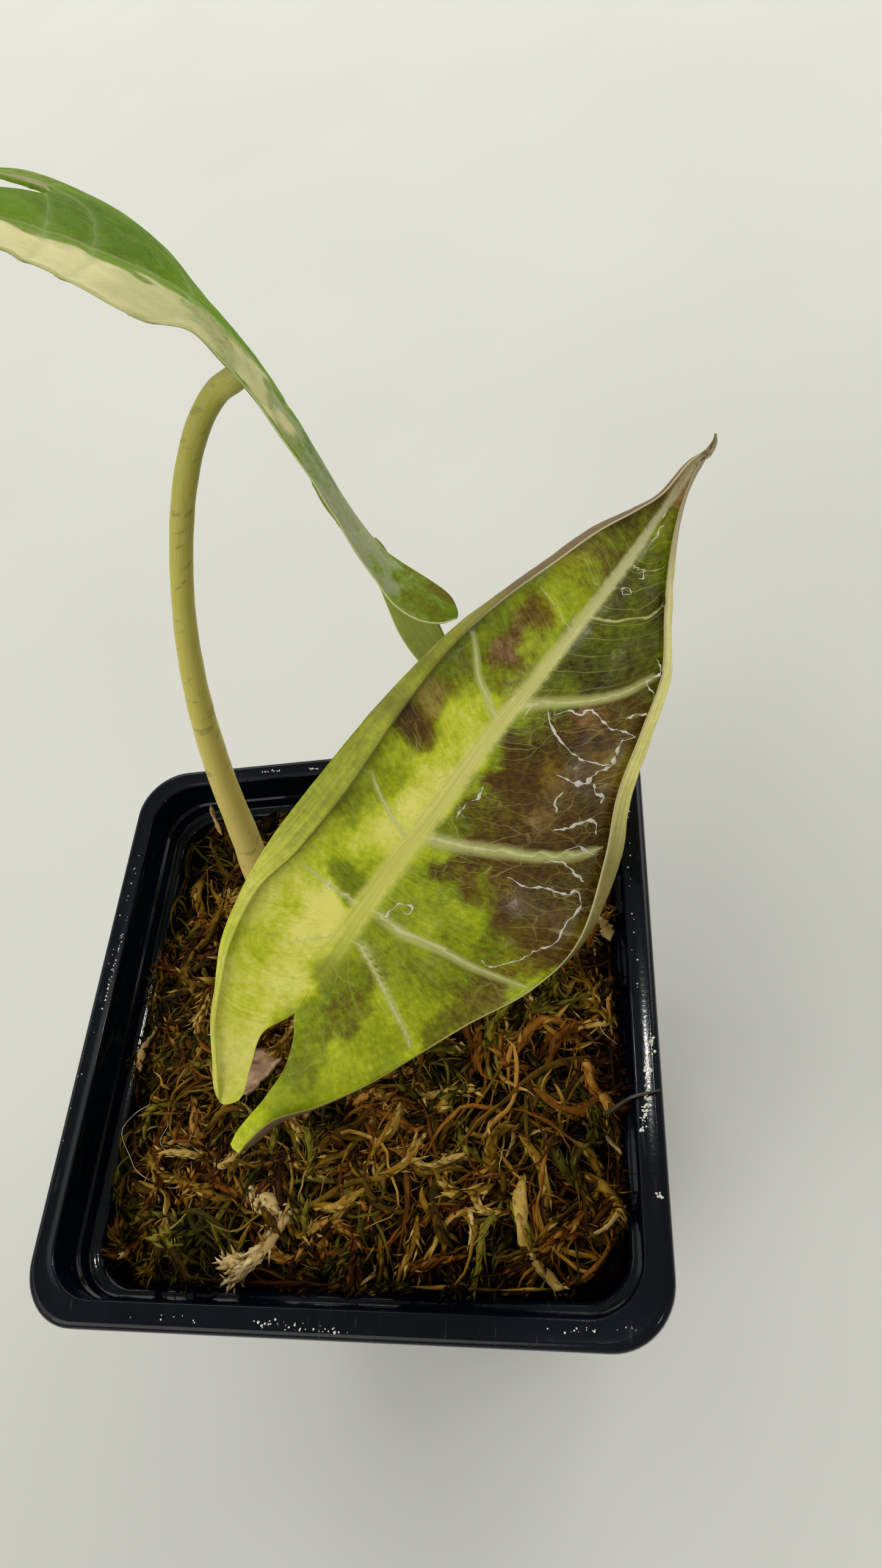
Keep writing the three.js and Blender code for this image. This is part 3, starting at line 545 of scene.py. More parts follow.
# %% Patches of the front leaf: along, across, radius, then lightness, bronze and rose
FRONT_PATCHES = [
    (83, 0, 4, 0.6, 0.8, 1.2), (77.3, -0.3, 3.4, 0.5, 0.8, 0.9), (71.8, -0.6, 3, 0.26, 0.6, 0.3),
    (61.5, -6, 3, 0.55, 0.45, 0.6), (65.1, -1.9, 3, 0.25, 0.5, 0.1), (57.6, -6.4, 2.6, 0.66, 0.4, 0.5),
    (52.9, -7.5, 2.6, 0.56, 0.2, 0.1), (50.4, -4, 2, 0.8, 0.3, 0), (57, -2.4, 2.6, 0.42, 0.4, 0),
    (46, -5.6, 2.6, 0.22, 0.9, 0.7), (42.6, -5.6, 2.4, 0.25, 0.9, 0.85), (48.8, -5.2, 2.4, 0.24, 0.8, 0.4),
    (53.6, -2.1, 2.2, 0.6, 0.05, 0), (46.4, -2, 2.8, 0.7, 0.05, 0), (45.8, -9.3, 2.8, 0.42, 0.15, 0),
    (49.5, -8.8, 2.4, 0.5, 0.3, 0.2), (38.8, -3, 2, 0.5, 0.35, 0.2), (40.4, -9.8, 2.4, 0.4, 0.1, 0),
    (36.6, -10.2, 2.4, 0.36, 0.2, 0), (37.4, -5.4, 2, 0.5, 0.1, 0), (29.8, -8.8, 2, 0.58, 0.5, 0.75),
    (33, -8.4, 2, 0.35, 0.65, 0.6), (25.9, -8.2, 2.4, 0.15, 0.85, 0), (21.5, -9, 2.2, 0.6, 0.15, 0),
    (26.5, -5.3, 2.2, 0.66, 0.3, 0.15), (34.2, -6.4, 1.8, 0.62, 0.1, 0), (30.3, -4.2, 2.6, 0.82, 0, 0),
    (33.4, -2.8, 2.2, 0.74, 0, 0), (25, -2.6, 2.4, 0.82, 0, 0), (21.3, -3.4, 2.6, 0.86, 0, 0),
    (18.4, -7.2, 2.2, 0.5, 0.15, 0), (15.4, -9.8, 2.4, 0.48, 0.05, 0), (16.6, -3.2, 2.2, 0.96, 0, 0),
    (12.2, -3.7, 2.2, 0.9, 0, 0), (14.2, -7, 2, 0.74, 0, 0), (11.3, -10.4, 2.4, 0.46, 0, 0),
    (9, -5.4, 2.2, 0.84, 0, 0), (6.9, -10, 2.4, 0.7, 0, 0), (5.5, -8, 2, 0.6, 0, 0),
    (4.2, -5.8, 1.8, 0.42, 0.05, 0), (3.6, -3, 2, 0.36, 0.1, 0), (7.4, -2.6, 2, 0.62, 0, 0),
    (-2.5, -5, 3.2, 1.05, 0, 0), (-3.4, -7.8, 2, 0.64, 0.05, 0), (-6.2, -9.4, 2.4, 0.9, 0, 0),
    (0.4, -9.6, 2.6, 0.8, 0, 0), (-9, -3.5, 3, 0.9, 0.05, 0), (-9.5, -8, 2.6, 0.7, 0.1, 0),
    (-14.3, -5.2, 3, 0.8, 0.1, 0), (-16.6, -9.3, 2.4, 0.85, 0, 0), (-13.4, -1.6, 3, 0.95, 0, 0),
    (-18.4, -6, 3, 0.84, 0.05, 0), (-24.8, -2.6, 3.4, 0.95, 0.05, 0), (-28.5, 0, 3, 0.86, 0.05, 0),
    # Right half: the rose share of the patches near the water ridges is a painted reflection of the wet film.
    (69.2, 2.6, 3, 0.36, 0.35, 0), (64.8, 3.2, 3, 0.3, 0.2, 0), (59.8, 5.3, 3.2, 0.1, 0.2, 0),
    (52.7, 5.8, 3.4, 0.2, 0.1, 0), (51.3, 9.4, 3, 0.2, 0.3, 0), (47.6, 3, 3, 0.08, 0.2, 0),
    (46, 8, 2.6, 0.14, 0.3, 0), (42.4, 3.4, 2.4, 0.26, 0, 0), (42.4, 10.8, 1.9, 0.25, 0.9, 0.75),
    (40.4, 8.4, 1.7, 0.25, 0.9, 0.8), (38.6, 11.4, 1.8, 0.02, 1, 0), (42.7, 13.6, 2.4, 0.2, 0.8, 0.3),
    (35.3, 10, 2.6, 0.12, 1, 0.1), (37, 5, 2.4, 0.24, 0.4, 0), (32.2, 4.8, 2.2, 0.12, 0.75, 0),
    (31.6, 10.6, 2, 0.4, 0.8, 0), (29.8, 2.4, 1.2, 0.45, 0.1, 0), (34.4, 2, 1.3, 0.4, 0.1, 0),
    (29.1, 7.2, 2.4, 0.1, 1, 0), (36.6, 14.6, 2.2, 0.4, 0.8, 0.2), (45.8, 13, 2.6, 0.16, 0.8, 0.1),
    (49.3, 13.1, 2.4, 0.25, 0.5, 0), (32, 15, 3, 0.12, 1, 0), (27.4, 9, 2.6, 0.1, 1, 0),
    (25.4, 12.1, 1.6, 0.3, 0.9, 0.7), (23.8, 2.2, 1.3, 0.5, 0.05, 0), (26, 16.4, 3, 0.14, 0.9, 0.1),
    (22, 6.4, 2.2, 0.2, 0.65, 0), (18.1, 3.6, 1.8, 0.3, 0.2, 0), (13.1, 2.4, 1.4, 0.62, 0, 0),
    (18.5, 8, 2.2, 0.12, 0.9, 0), (12.8, 6.9, 1.8, 0.2, 0.65, 0), (13.3, 10, 2.2, 0.18, 0.8, 0),
    (16.9, 15.1, 2.8, 0.14, 0.95, 0), (20, 11.5, 2.6, 0.12, 0.95, 0), (21, 18.4, 3, 0.16, 0.8, 0),
    (8.1, 4.6, 1.6, 0.5, 0, 0), (4.4, 8.9, 1.7, 0.58, 0, 0), (8, 10, 1.7, 0.54, 0, 0),
    (10.4, 12.4, 1.7, 0.56, 0.05, 0), (14.4, 11.7, 2, 0.4, 0.35, 0), (11.8, 17.3, 2.4, 0.2, 0.8, 0),
    (14, 20.8, 2.8, 0.22, 0.8, 0), (8.2, 17, 2, 0.34, 0.35, 0), (7.4, 21.6, 2.2, 0.42, 0.6, 0),
    (6.6, 25, 2, 0.6, 0.2, 0), (5.4, 13, 1.6, 0.5, 0.1, 0), (9.4, 8, 1.4, 0.4, 0.2, 0),
    (1.6, 10.4, 2.4, 0.44, 0.12, 0), (1.4, 15.2, 2.2, 0.38, 0.25, 0), (0, 19.2, 2.6, 0.3, 0.65, 0),
    (-3.7, 16.4, 2, 0.6, 0.05, 0), (-3.4, 10.4, 2.6, 0.52, 0.08, 0), (3.6, 5.4, 2, 0.5, 0, 0),
    (-1, 5, 2.4, 0.46, 0.1, 0), (-5.3, 6.4, 1.8, 0.34, 0.4, 0), (-8.5, 7, 2, 0.34, 0.5, 0),
    (-12.1, 7, 1.8, 0.36, 0.45, 0), (-7.6, 11, 2, 0.66, 0, 0), (-12.2, 10.8, 2.2, 0.58, 0, 0),
    (-15.7, 10.8, 2, 0.72, 0, 0), (-12.4, 16, 2.4, 0.46, 0, 0), (-10.2, 16.9, 2, 0.7, 0, 0),
    (-7, 18.4, 1.8, 0.36, 0.5, 0), (-5, 20.4, 2.4, 0.36, 0.45, 0), (-19.8, 11, 2.4, 0.64, 0, 0),
    (-17.6, 5.6, 2, 0.44, 0.1, 0), (-14.6, 1.9, 2.2, 0.38, 0.05, 0), (-8.7, 1.6, 2.2, 0.3, 0.05, 0),
    (-3.6, 1.6, 2, 0.52, 0, 0), (-7.3, 3.1, 1.6, 0.42, 0.1, 0), (-21.4, 6, 2.2, 0.34, 0.2, 0),
    (-25, 7.1, 2.6, 0.52, 0, 0), (-32.4, 5.8, 3, 0.76, 0, 0),
]
print("front leaf:", len(FRONT_PATCHES), "patches")

# %% Patches of the back leaf: rib, share across (left is negative), two radii, then the three shares
BACK_PATCHES = [
    # The rose share here is a grey painted sheen, where the blade is seen at a grazing angle.
    (-4, -0.5, 1.5, 0.6, 0.3, 0.5, 0), (-1.5, -0.3, 1.2, 0.3, 0.36, 0.6, 0.2),
    (-1.5, -0.8, 1.2, 0.3, 0.46, 0.3, 0.2), (1, -0.3, 1, 0.3, 0.5, 0.05, 0.95),
    (1, -0.8, 1, 0.3, 0.46, 0.1, 0.95), (2.2, -0.6, 0.6, 0.5, 0.5, 0.05, 0.95),
    (2.9, -0.3, 0.4, 0.14, 0.2, 0.2, 0.7), (3.3, -0.75, 0.3, 0.16, 0.3, 0.1, 0.8),
    (3.8, -0.5, 0.4, 0.2, 0.5, 0, 0.8), (4.3, -0.85, 0.4, 0.1, 0.28, 0.1, 0.5),
    (4.4, -0.25, 0.3, 0.1, 0.26, 0.1, 0.5), (4.8, -0.5, 0.6, 0.2, 0.72, 0, 0.2),
    (5.3, -0.9, 0.5, 0.08, 0.4, 0, 0.6), (5.5, -0.1, 0.5, 0.1, 0.3, 0.1, 0.5),
    (6, -0.5, 0.8, 0.25, 0.55, 0.05, 0.5), (6.2, -0.86, 0.6, 0.1, 0.44, 0, 0),
    (6.8, -0.14, 0.6, 0.08, 0.36, 0, 0), (7.6, -0.12, 0.8, 0.08, 0.38, 0, 0),
    (9, -0.14, 2, 0.09, 0.38, 0, 0), (8.4, -0.6, 1.2, 0.25, 0.66, 0, 0), (10.5, -0.55, 2, 0.25, 0.98, 0, 0),
    (14, -0.54, 3, 0.22, 1, 0, 0), (18, -0.55, 2, 0.3, 0.95, 0, 0), (13, -0.17, 5, 0.1, 0.36, 0, 0.2),
    (14, -0.88, 5, 0.1, 0.6, 0, 0), (10, -0.9, 2, 0.09, 0.58, 0, 0), (18, -0.88, 3, 0.1, 0.6, 0, 0),
    (-4, 0.5, 2, 0.6, 0.3, 0.65, 0), (-1, 0.5, 2, 0.5, 0.34, 0.6, 0.1), (3, 0.5, 2, 0.4, 0.42, 0.1, 0.8),
    (6, 0.5, 2, 0.5, 0.34, 0, 0), (9, 0.5, 2, 0.3, 0.26, 0, 0), (10.5, 0.2, 1.5, 0.14, 0.3, 0, 0),
    (12, 0.5, 2, 0.25, 0.24, 0, 0), (14, 0.2, 2, 0.12, 0.36, 0, 0), (15.5, 0.6, 2, 0.25, 0.28, 0, 0),
    (18, 0.5, 3, 0.4, 0.36, 0, 0), (13, 0.88, 3, 0.12, 0.42, 0.35, 0), (20, 0.2, 3, 0.5, 0.36, 0.1, 0),
]
print("back leaf:", len(BACK_PATCHES), "patches")

# %% [markdown]
# ## The fine blades
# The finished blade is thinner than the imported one: 0.4 mm in the middle of its halves, and thinner still
# at the margins and the tip, with a keel under the midrib. Between the veins the green tissue bulges a
# little, and the veins lie in shallow grooves, which catches the light as on the real leaf.

# %% The painted shares of every point
def painted(points, ribs, shares, side, patches, by_rib, seed):
    """Lightness, bronze and rose. The places of the patches are ribs and shares across, or millimetres
    along and across; long waves and, for millimetres, short ones push the point about."""
    x, y = points[:, 0], points[:, 1]
    if by_rib:
        places = [ribs + 0.5 * wander(x, y, 7, seed), side * shares + 0.05 * wander(x, y, 5, seed + 1)]
    else:
        places = [x + 0.8 * wander(x, y, 7, seed) + 0.3 * wander(x, y, 2.2, seed + 2),
                  y + 0.8 * wander(x, y, 7, seed + 1) + 0.3 * wander(x, y, 2.2, seed + 3)]
    return paint(np.stack(places, 1), patches).T


# %% A finished blade's surface
BLADE_HALF = 0.2
BULGE = 0.22
BULGE_REACH = 2.4
GROOVE = 0.14
RIPPLE = 0.03
RIPPLE_LENGTH = 3.4
KEEL = 0.9
KEEL_REACH = 1.1


def blade_piece(name, leaf, material, replaced, routes, widths, patches, by_rib, seed):
    """The blade as a slab, with the fields that its material reads. The sheet rises by the bulge times
    1 - exp(-(d / reach)^2), with d the distance to the nearest vein, and fades to nothing at the margin. It
    sinks on the veins by the groove times exp(-(d / half width)^2), and a ripple makes it uneven. It returns
    the flat points, the raised sheet and its normals."""
    points, quads, ribs, shares, side, to_margin = blade_sheet(leaf)
    veins = np.zeros((6, len(points)))
    for sign, half in ((-1, "left"), (1, "right")):
        on = side == sign
        veins[:, on] = vein_fields(points[on], ribs[on], shares[on], routes[half], widths[half])
    count, gap, lane, reach, wide, to_vein = veins
    tip = np.clip(ribs / ribs.max(), 0, 1)
    midline = points[(shares == 0) & (ribs >= 0) & (side < 0)]
    to_midrib = np.min([np.linalg.norm(points - p, axis=1) for p in midline], axis=0)
    foot_half, tip_half = leaf["midrib"]
    axis = to_midrib / (tip_half + (foot_half - tip_half) * (1 - tip) ** 1.5)
    light, bronze, rose = painted(points, ribs, shares, side, patches, by_rib, seed)

    sheet = points @ leaf_axes(leaf) + np.array(leaf["at"])
    normal = sheet_normals(sheet, quads)
    near = np.minimum(to_vein, to_midrib)
    bulge = BULGE * (1 - np.exp(-(near / BULGE_REACH) ** 2)) * ramp(to_margin, 0.3, 3.5)
    on_vein = np.exp(-(to_vein / np.maximum(wide, 0.05)) ** 2)
    on_midrib = np.exp(-axis ** 2) * ramp(ribs, -1, 1)
    groove = GROOVE * np.maximum(on_vein, on_midrib)
    uneven = wander(points[:, 0], points[:, 1], RIPPLE_LENGTH, seed + 5)
    ripple = RIPPLE * uneven * ramp(to_margin, 0.2, 2)
    raised = sheet + normal * (bulge - groove + ripple)[:, None]
    half = BLADE_HALF * (0.35 + 0.65 * ramp(to_margin, 0, 0.9)) * (1 - 0.85 * ramp(tip, 0.93, 1))
    keel = KEEL * np.exp(-(to_midrib / KEEL_REACH) ** 2) * (1 - 0.8 * tip) * ramp(ribs, 0, 3)
    solid, faces = slab(raised, quads, half, half + keel * (1 - ramp(tip, 0.85, 0.97)))
    fields = {
        "light": light, "bronze": bronze, "rose": rose, "count": count, "gap": gap, "lane": lane,
        "reach": reach, "wide": wide, "axis": axis, "margin": to_margin, "side": side, "tip": tip,
        "rib": ribs,
    }
    fields = {key: np.tile(values, 2) for key, values in fields.items()}
    fields["under"] = np.repeat([0.0, 1.0], len(points))
    add_piece(name, solid, [faces], material, replaced, fields)
    return points, raised, normal


# %% [markdown]
# ## Leaf tissue
# A leaf is waxy skin over wet, coloured tissue, so it is a soft gloss over a colour with some light passing
# through. The colour comes from the painted shares through two ramps, one of greens and one of bronzes. The
# veins and their net are lighter, because they hold no pigment. Each function below paints one layer over
# the tissue so far, and leaves in the dictionary at what later layers need.

# %% What the pattern is drawn from: fields of the blade, and noises with grain in mm, detail and roughness
FIELDS = ("light", "bronze", "rose", "count", "gap", "lane", "reach", "wide", "axis", "margin", "side", "tip",
          "rib", "under")
NOISES = (("broad", 5.0, 7.0, 0.68), ("fleck", 0.9, 4.0, 0.6), ("soft", 3.0, 2.0, 0.5),
          ("cloud", 9.0, 1.0, 0.5))


def pattern_source(node):
    """The outputs that carry the fields and the noises, by name; sway and grit are noises about zero."""
    at = {key: node("Attribute", output="Fac", attribute_name=key) for key in FIELDS}
    place = node("TexCoord", output="Object")
    for key, size, detail, roughness in NOISES:
        at[key] = node("TexNoise", {
            "Vector": place, "Scale": 1000 / size, "Detail": detail, "Roughness": roughness})
    at["sway"] = node("Math", {0: at["soft"], 1: 0.5}, **LESS)
    at["grit"] = node("Math", {0: at["fleck"], 1: 0.5}, **LESS)
    return at


# %% Patches: greens and bronzes by lightness, and rose with its painted sheen, frayed by noise drawn out along the side veins
def patch_colours(node, at, look):
    """The tissue's colour, before any vein: its own greens, bronzes and rose, with a painted sheen in the
    rose.
    """
    stretched = node("CombineXYZ", {0: node("Math", {0: at["lane"], 1: 3.2}, **TIMES),
                                    1: node("Math", {0: at["reach"], 1: 0.5}, **TIMES), 2: at["side"]})
    streak = node("TexNoise", {"Vector": stretched, "Scale": 1.0, "Detail": 4.0, "Roughness": 0.65})
    mottle = node("Mix", {0: 0.4, 2: at["broad"], 3: streak})
    at["mottle"] = node("Mix", {0: 0.32, 2: mottle, 3: at["fleck"]})
    frayed = node("Math", {0: at["mottle"], 1: 0.5}, **LESS)
    light = node("Math", {0: frayed, 1: look["fray"], 2: at["light"]}, **TIMES_PLUS)
    bronze = node("Math", {0: frayed, 1: -2.6, 2: at["bronze"]}, **TIMES_PLUS)
    bronze = node("MapRange", {0: bronze, 1: 0.15, 2: 0.95}, **SMOOTH)
    at["green"] = node("ValToRGB", {0: light}, stops=look["greens"])
    brown = node("ValToRGB", {0: light}, stops=look["bronzes"])
    tissue = node("Mix", {0: bronze, 6: at["green"], 7: brown}, **RGBA)
    # Rose: the front leaf's own pinkish brown, and painted sheen where it stands for the wet film's
    # reflection or for grazing light on the back leaf.
    rose = node("Math", {0: frayed, 1: 3.2, 2: at["rose"]}, **TIMES_PLUS)
    rose = node("MapRange", {0: rose, 1: 0.3, 2: 1.2, 4: 0.8}, **SMOOTH)
    return node("Mix", {0: rose, 6: tissue, 7: look["rose"]}, **RGBA)


# %% The net: wide polygons between the side veins behind, and bent arcs before, with a finer net within
def vein_net(node, at, look, tissue):
    """Edges of Voronoi cells on lane and reach, or lines halfway between lanes, thinned by a cloud."""
    bent = node("Math", {0: at["sway"], 1: 0.9, 2: at["lane"]}, **TIMES_PLUS)
    reach = node("Math", {0: at["reach"], 1: 1 / 4.5}, **TIMES)
    cells = node("CombineXYZ", {0: bent, 1: reach, 2: at["side"]})
    coarse = node("TexVoronoi", {"Vector": cells, "Scale": 0.9, "Randomness": 0.8},
                  feature="DISTANCE_TO_EDGE")
    coarse = node("MapRange", {0: coarse, 1: 0.004, 2: 0.03, 3: 1.0, 4: 0.0}, **SMOOTH)
    fine = node("TexVoronoi", {"Vector": cells, "Scale": 3.6, "Randomness": 0.9}, feature="DISTANCE_TO_EDGE")
    fine = node("MapRange", {0: fine, 1: 0.02, 2: 0.12, 3: 0.25, 4: 0.0}, **SMOOTH)
    arcs = node("Math", {0: at["sway"], 1: 0.35, 2: at["lane"]}, **TIMES_PLUS)
    arcs = node("Math", {0: arcs, 1: 0.5}, operation="PINGPONG")
    arcs = node("MapRange", {0: arcs, 1: 0.015, 2: 0.05, 3: 1.0, 4: 0.0}, **SMOOTH)
    forward = node("MapRange", {0: at["tip"], 1: look["arcs_from"], 2: look["arcs_from"] + 0.04})
    net = node("Mix", {0: forward, 2: coarse, 3: arcs})
    net = node("Math", {0: net, 1: fine}, operation="MAXIMUM")
    thinned = node("MapRange", {0: at["cloud"], 1: 0.32, 2: 0.62, 3: 0.15, 4: 1.0})
    at["net"] = node("Math", {0: net, 1: thinned}, **TIMES)
    at["net_share"] = node("Math", {0: at["net"], 1: look["net"]}, **TIMES)
    return node("Mix", {0: at["net_share"], 6: tissue, 7: look["net_colour"]}, **RGBA)


# %% Side veins: soft pale bands with a thin lighter ridge
def side_veins(node, at, look, tissue):
    """The distance to the nearest whole count, in units of the vein's half width, gives band and ridge."""
    away = node("Math", {0: at["count"], 1: 0.5}, operation="PINGPONG")
    away = node("Math", {0: away, 1: at["gap"]}, **TIMES)
    away = node("Math", {0: at["sway"], 1: 0.3, 2: away}, **TIMES_PLUS)
    half_width = node("Math", {0: at["wide"], 1: 0.02}, operation="MAXIMUM")
    ratio = node("Math", {0: away, 1: half_width}, operation="DIVIDE")
    ratio = node("Math", {0: at["grit"], 1: 0.7, 2: ratio}, **TIMES_PLUS)
    share = look["vein_share"]
    at["vein"] = node("MapRange", {0: ratio, 1: 0.25, 2: 1.6, 3: share, 4: 0.0}, **SMOOTH)
    ridge = node("MapRange", {0: ratio, 1: 0.1, 2: 0.28, 3: 0.7 * share, 4: 0.0}, **SMOOTH)
    tissue = node("Mix", {0: at["vein"], 6: tissue, 7: look["vein"]}, **RGBA)
    return node("Mix", {0: ridge, 6: tissue, 7: look["ridge"]}, **RGBA)


# %% The midrib: a feathered pale band with ridges along it
def midrib(node, at, look, tissue):
    """The band fades in from rib 0.6 to 2, and grooves run along it as drawn-out noise: in the bump, and as
    painted shade that darkens the colour in them.
    """
    across = node("Math", {0: at["axis"], 1: at["side"]}, **TIMES)
    fibres = node("CombineXYZ", {0: node("Math", {0: across, 1: 3.0}, **TIMES),
                                 1: node("Math", {0: at["rib"], 1: 0.22}, **TIMES)})
    lines = node("TexNoise", {"Vector": fibres, "Scale": 1.6, "Detail": 2.0, "Roughness": 0.6})
    ragged = node("Math", {0: at["grit"], 1: 1.1, 2: at["axis"]}, **TIMES_PLUS)
    inside = node("MapRange", {0: ragged, 1: 0.5, 2: 1.4, 3: 0.94, 4: 0.0}, **SMOOTH)
    inside = node("Math", {0: inside, 1: node("MapRange", {0: at["rib"], 1: 0.6, 2: 2.0})}, **TIMES)
    colour = node("ValToRGB", {0: at["tip"]}, stops=look["midrib"])
    # Painted shade: the colour darkens in the low places of the bump's grooves.
    shade = node("MapRange", {0: lines, 1: 0.38, 2: 0.6, 3: 0.24, 4: 0.0}, **SMOOTH)
    colour = node("Mix", {0: shade, 6: colour, 7: look["groove"]}, **RGBA)
    at["lines"] = node("Math", {0: inside, 1: lines}, **TIMES)
    return node("Mix", {0: inside, 6: tissue, 7: colour}, **RGBA)


# %% The border: its colours and width go up the left side (0 to 0.5), then up the right side (0.5 to 1)
def border(node, at, look, tissue):
    """A soft band along the margin; its width is a grey of the ramp, where white means 5 mm."""
    along = node("Math", {0: at["tip"], 1: 0.5, 2: 0.25}, **TIMES_PLUS)
    at["round"] = node("Math", {0: at["side"], 1: 0.25, 2: along}, **TIMES_PLUS)
    colour = node("ValToRGB", {0: at["round"]}, stops=look["border"])
    width = node("ValToRGB", {0: at["round"]}, stops=look["border_width"])
    width = node("Math", {0: width, 1: 5.0}, **TIMES)
    from_edge = node("Math", {0: at["sway"], 1: 0.7, 2: at["margin"]}, **TIMES_PLUS)
    from_edge = node("Math", {0: from_edge, 1: width}, operation="DIVIDE")
    band = node("MapRange", {0: from_edge, 1: 0.7, 2: 1.15, 3: 0.88, 4: 0.0}, **SMOOTH)
    return node("Mix", {0: band, 6: tissue, 7: colour}, **RGBA)


# %% The underside has ramps of its own, and shows the green and the veins faintly
def underside(node, at, look):
    """A ramp round the blade, mixed with the green where "through" is light, darkened in a dapple that
    follows the margin, partly mottled colour and partly painted shade of wrinkles, and crossed by the veins
    at a third of their strength."""
    colour = node("ValToRGB", {0: at["round"]}, stops=look["under"])
    seen_through = node("ValToRGB", {0: at["round"]}, stops=look["through"])
    colour = node("Mix", {0: seen_through, 6: colour, 7: at["green"]}, **RGBA)
    wrinkles = node("CombineXYZ", {0: node("Math", {0: at["margin"], 1: 1.6}, **TIMES),
                                   1: node("Math", {0: at["rib"], 1: 0.5}, **TIMES), 2: at["side"]})
    wrinkles = node("TexNoise", {"Vector": wrinkles, "Scale": 1.0, "Detail": 3.0, "Roughness": 0.6})
    wrinkles = node("Mix", {0: 0.6, 2: at["mottle"], 3: wrinkles})
    # The dark dapple is partly mottled colour and partly painted shade of wrinkles along the margin.
    wrinkle_shade = node("MapRange", {0: wrinkles, 1: 0.38, 2: 0.58, 3: 0.42, 4: 0.0})
    colour = node("Mix", {0: wrinkle_shade, 6: colour, 7: look["under_dark"]}, **RGBA)
    veins = node("Math", {0: at["vein"], 1: at["net_share"]}, operation="MAXIMUM")
    veins = node("Math", {0: veins, 1: 0.35}, **TIMES)
    return node("Mix", {0: veins, 6: colour, 7: look["vein"]}, **RGBA)


# %% The leaf's material
def leaf_material(name, look):
    """Waxy leaf: the eye reads thin wet tissue with pale veins under a soft gloss, duller and greyer
    beneath. A thin line runs along the very edge of both faces; along the front leaf's left roll it is dark,
    partly the margin's own colour and partly painted shadow in the gap under the roll."""
    material, shader, node = new_material(name)
    at = pattern_source(node)
    tissue = patch_colours(node, at, look)
    for layer in (vein_net, side_veins, midrib, border):
        tissue = layer(node, at, look, tissue)
    colour = node("Mix", {0: at["under"], 6: tissue, 7: underside(node, at, look)}, **RGBA)
    edge = node("MapRange", {0: at["margin"], 1: 0.14, 2: 0.34, 3: 0.75, 4: 0.0}, **SMOOTH)
    edge_colour = node("ValToRGB", {0: at["round"]}, stops=look["edge"])
    colour = node("Mix", {0: edge, 6: colour, 7: edge_colour}, **RGBA)
    relief = node("Math", {0: at["net"], 1: -0.5, 2: at["fleck"]}, **TIMES_PLUS)
    relief = node("Math", {0: at["lines"], 1: 3.0, 2: relief}, **TIMES_PLUS)
    gloss_low, gloss_high = look["gloss"]
    rough = node("MapRange", {0: at["soft"], 1: 0.3, 2: 0.7, 3: gloss_low, 4: gloss_high})
    plug(shader, {
        "Base Color": colour,
        "Normal": node("Bump", {"Strength": 0.3, "Distance": 0.00012, "Height": relief}),
        "Roughness": node("Mix", {0: at["under"], 2: rough, 3: 0.6}), "IOR": 1.42,
        "Specular IOR Level": look["wax"], "Subsurface Weight": 0.12,
        "Subsurface Radius": (0.001, 0.001, 0.0005), "Subsurface Scale": 0.6})
    return material


# %% Two leaves, two finishes
# Greens and bronzes go from dark to light, and the midrib from foot (0) to tip (1). The other ramps go round
# the blade: up the left side (0 to 0.5), then up the right side (0.5 to 1). The greys of border_width and
# through stand for numbers.
FRONT_LOOK = {
    "greens": [(0, "#2c3200"), (0.2, "#505800"), (0.4, "#768402"), (0.58, "#9aa808"), (0.76, "#c0c828"),
               (1, "#e6e174")],
    "bronzes": [(0, "#301b00"), (0.2, "#553a06"), (0.45, "#7c5e0c"), (0.75, "#a98c34"), (1, "#c9b46c")],
    # rose: pinkish brown on the left half, a painted reflection of the water film on the wet right half.
    "fray": 1.35, "rose": "#987254", "net": 0.42, "net_colour": "#aca65a", "arcs_from": 0.42,
    "vein_share": 0.78, "vein": "#bcbe76", "ridge": "#dcdaa6", "groove": "#7f8a34",
    "midrib": [(0, "#d4d658"), (0.25, "#d6d26c"), (0.5, "#d8d386"), (0.7, "#d2cda0"), (0.82, "#bdb58e"),
               (0.92, "#968868"), (1, "#968a5c")],
    "border": [(0, "#bfc452"), (0.2, "#a9ad48"), (0.27, "#7e6a48"), (0.48, "#7a604a"), (0.52, "#a5aa35"),
               (0.62, "#c0b868"), (0.68, "#e0d684"), (0.74, "#dcd48c"), (0.8, "#c0b48e"), (0.88, "#b0a58a"),
               (0.95, "#a08f72"), (1, "#9a9a48")],
    "border_width": [(0, "#181818"), (0.22, "#181818"), (0.3, "#202020"), (0.5, "#202020"), (0.56, "#101010"),
                     (0.63, "#383838"), (0.7, "#8e8e8e"), (0.85, "#868686"), (1, "#909090")],
    # The dark stops of edge on the left side, 0.06 to 0.2, are partly the margin's own colour and partly
    # painted shadow in the gap under the rolled margin.
    "edge": [(0, "#b0b048"), (0.06, "#8a8a30"), (0.1, "#55500f"), (0.2, "#4a4210"), (0.26, "#c9c09a"),
             (0.4, "#c4b892"), (0.46, "#8f7b5c"), (0.5, "#8a8a4a"), (0.52, "#b5b458"), (0.62, "#c9c098"),
             (0.7, "#a89f80"), (1, "#a39472")],
    "under": [(0, "#bcc24a"), (0.12, "#b2b844"), (0.2, "#9c9a40"), (0.24, "#76603e"), (0.5, "#6a5040"),
              (0.52, "#8a9330"), (0.58, "#6f5f38"), (0.63, "#8c8444"), (0.68, "#eee68c"), (0.76, "#efe79c"),
              (0.84, "#b8ac8c"), (0.95, "#978664"), (1, "#9a9a48")],
    "under_dark": "#5c4e24",
    "through": [(0, "#b8b8b8"), (0.19, "#b8b8b8"), (0.24, "#202020"), (0.5, "#202020"), (0.52, "#909090"),
                (0.62, "#202020")],
    "gloss": (0.16, 0.4), "wax": 0.28,
}
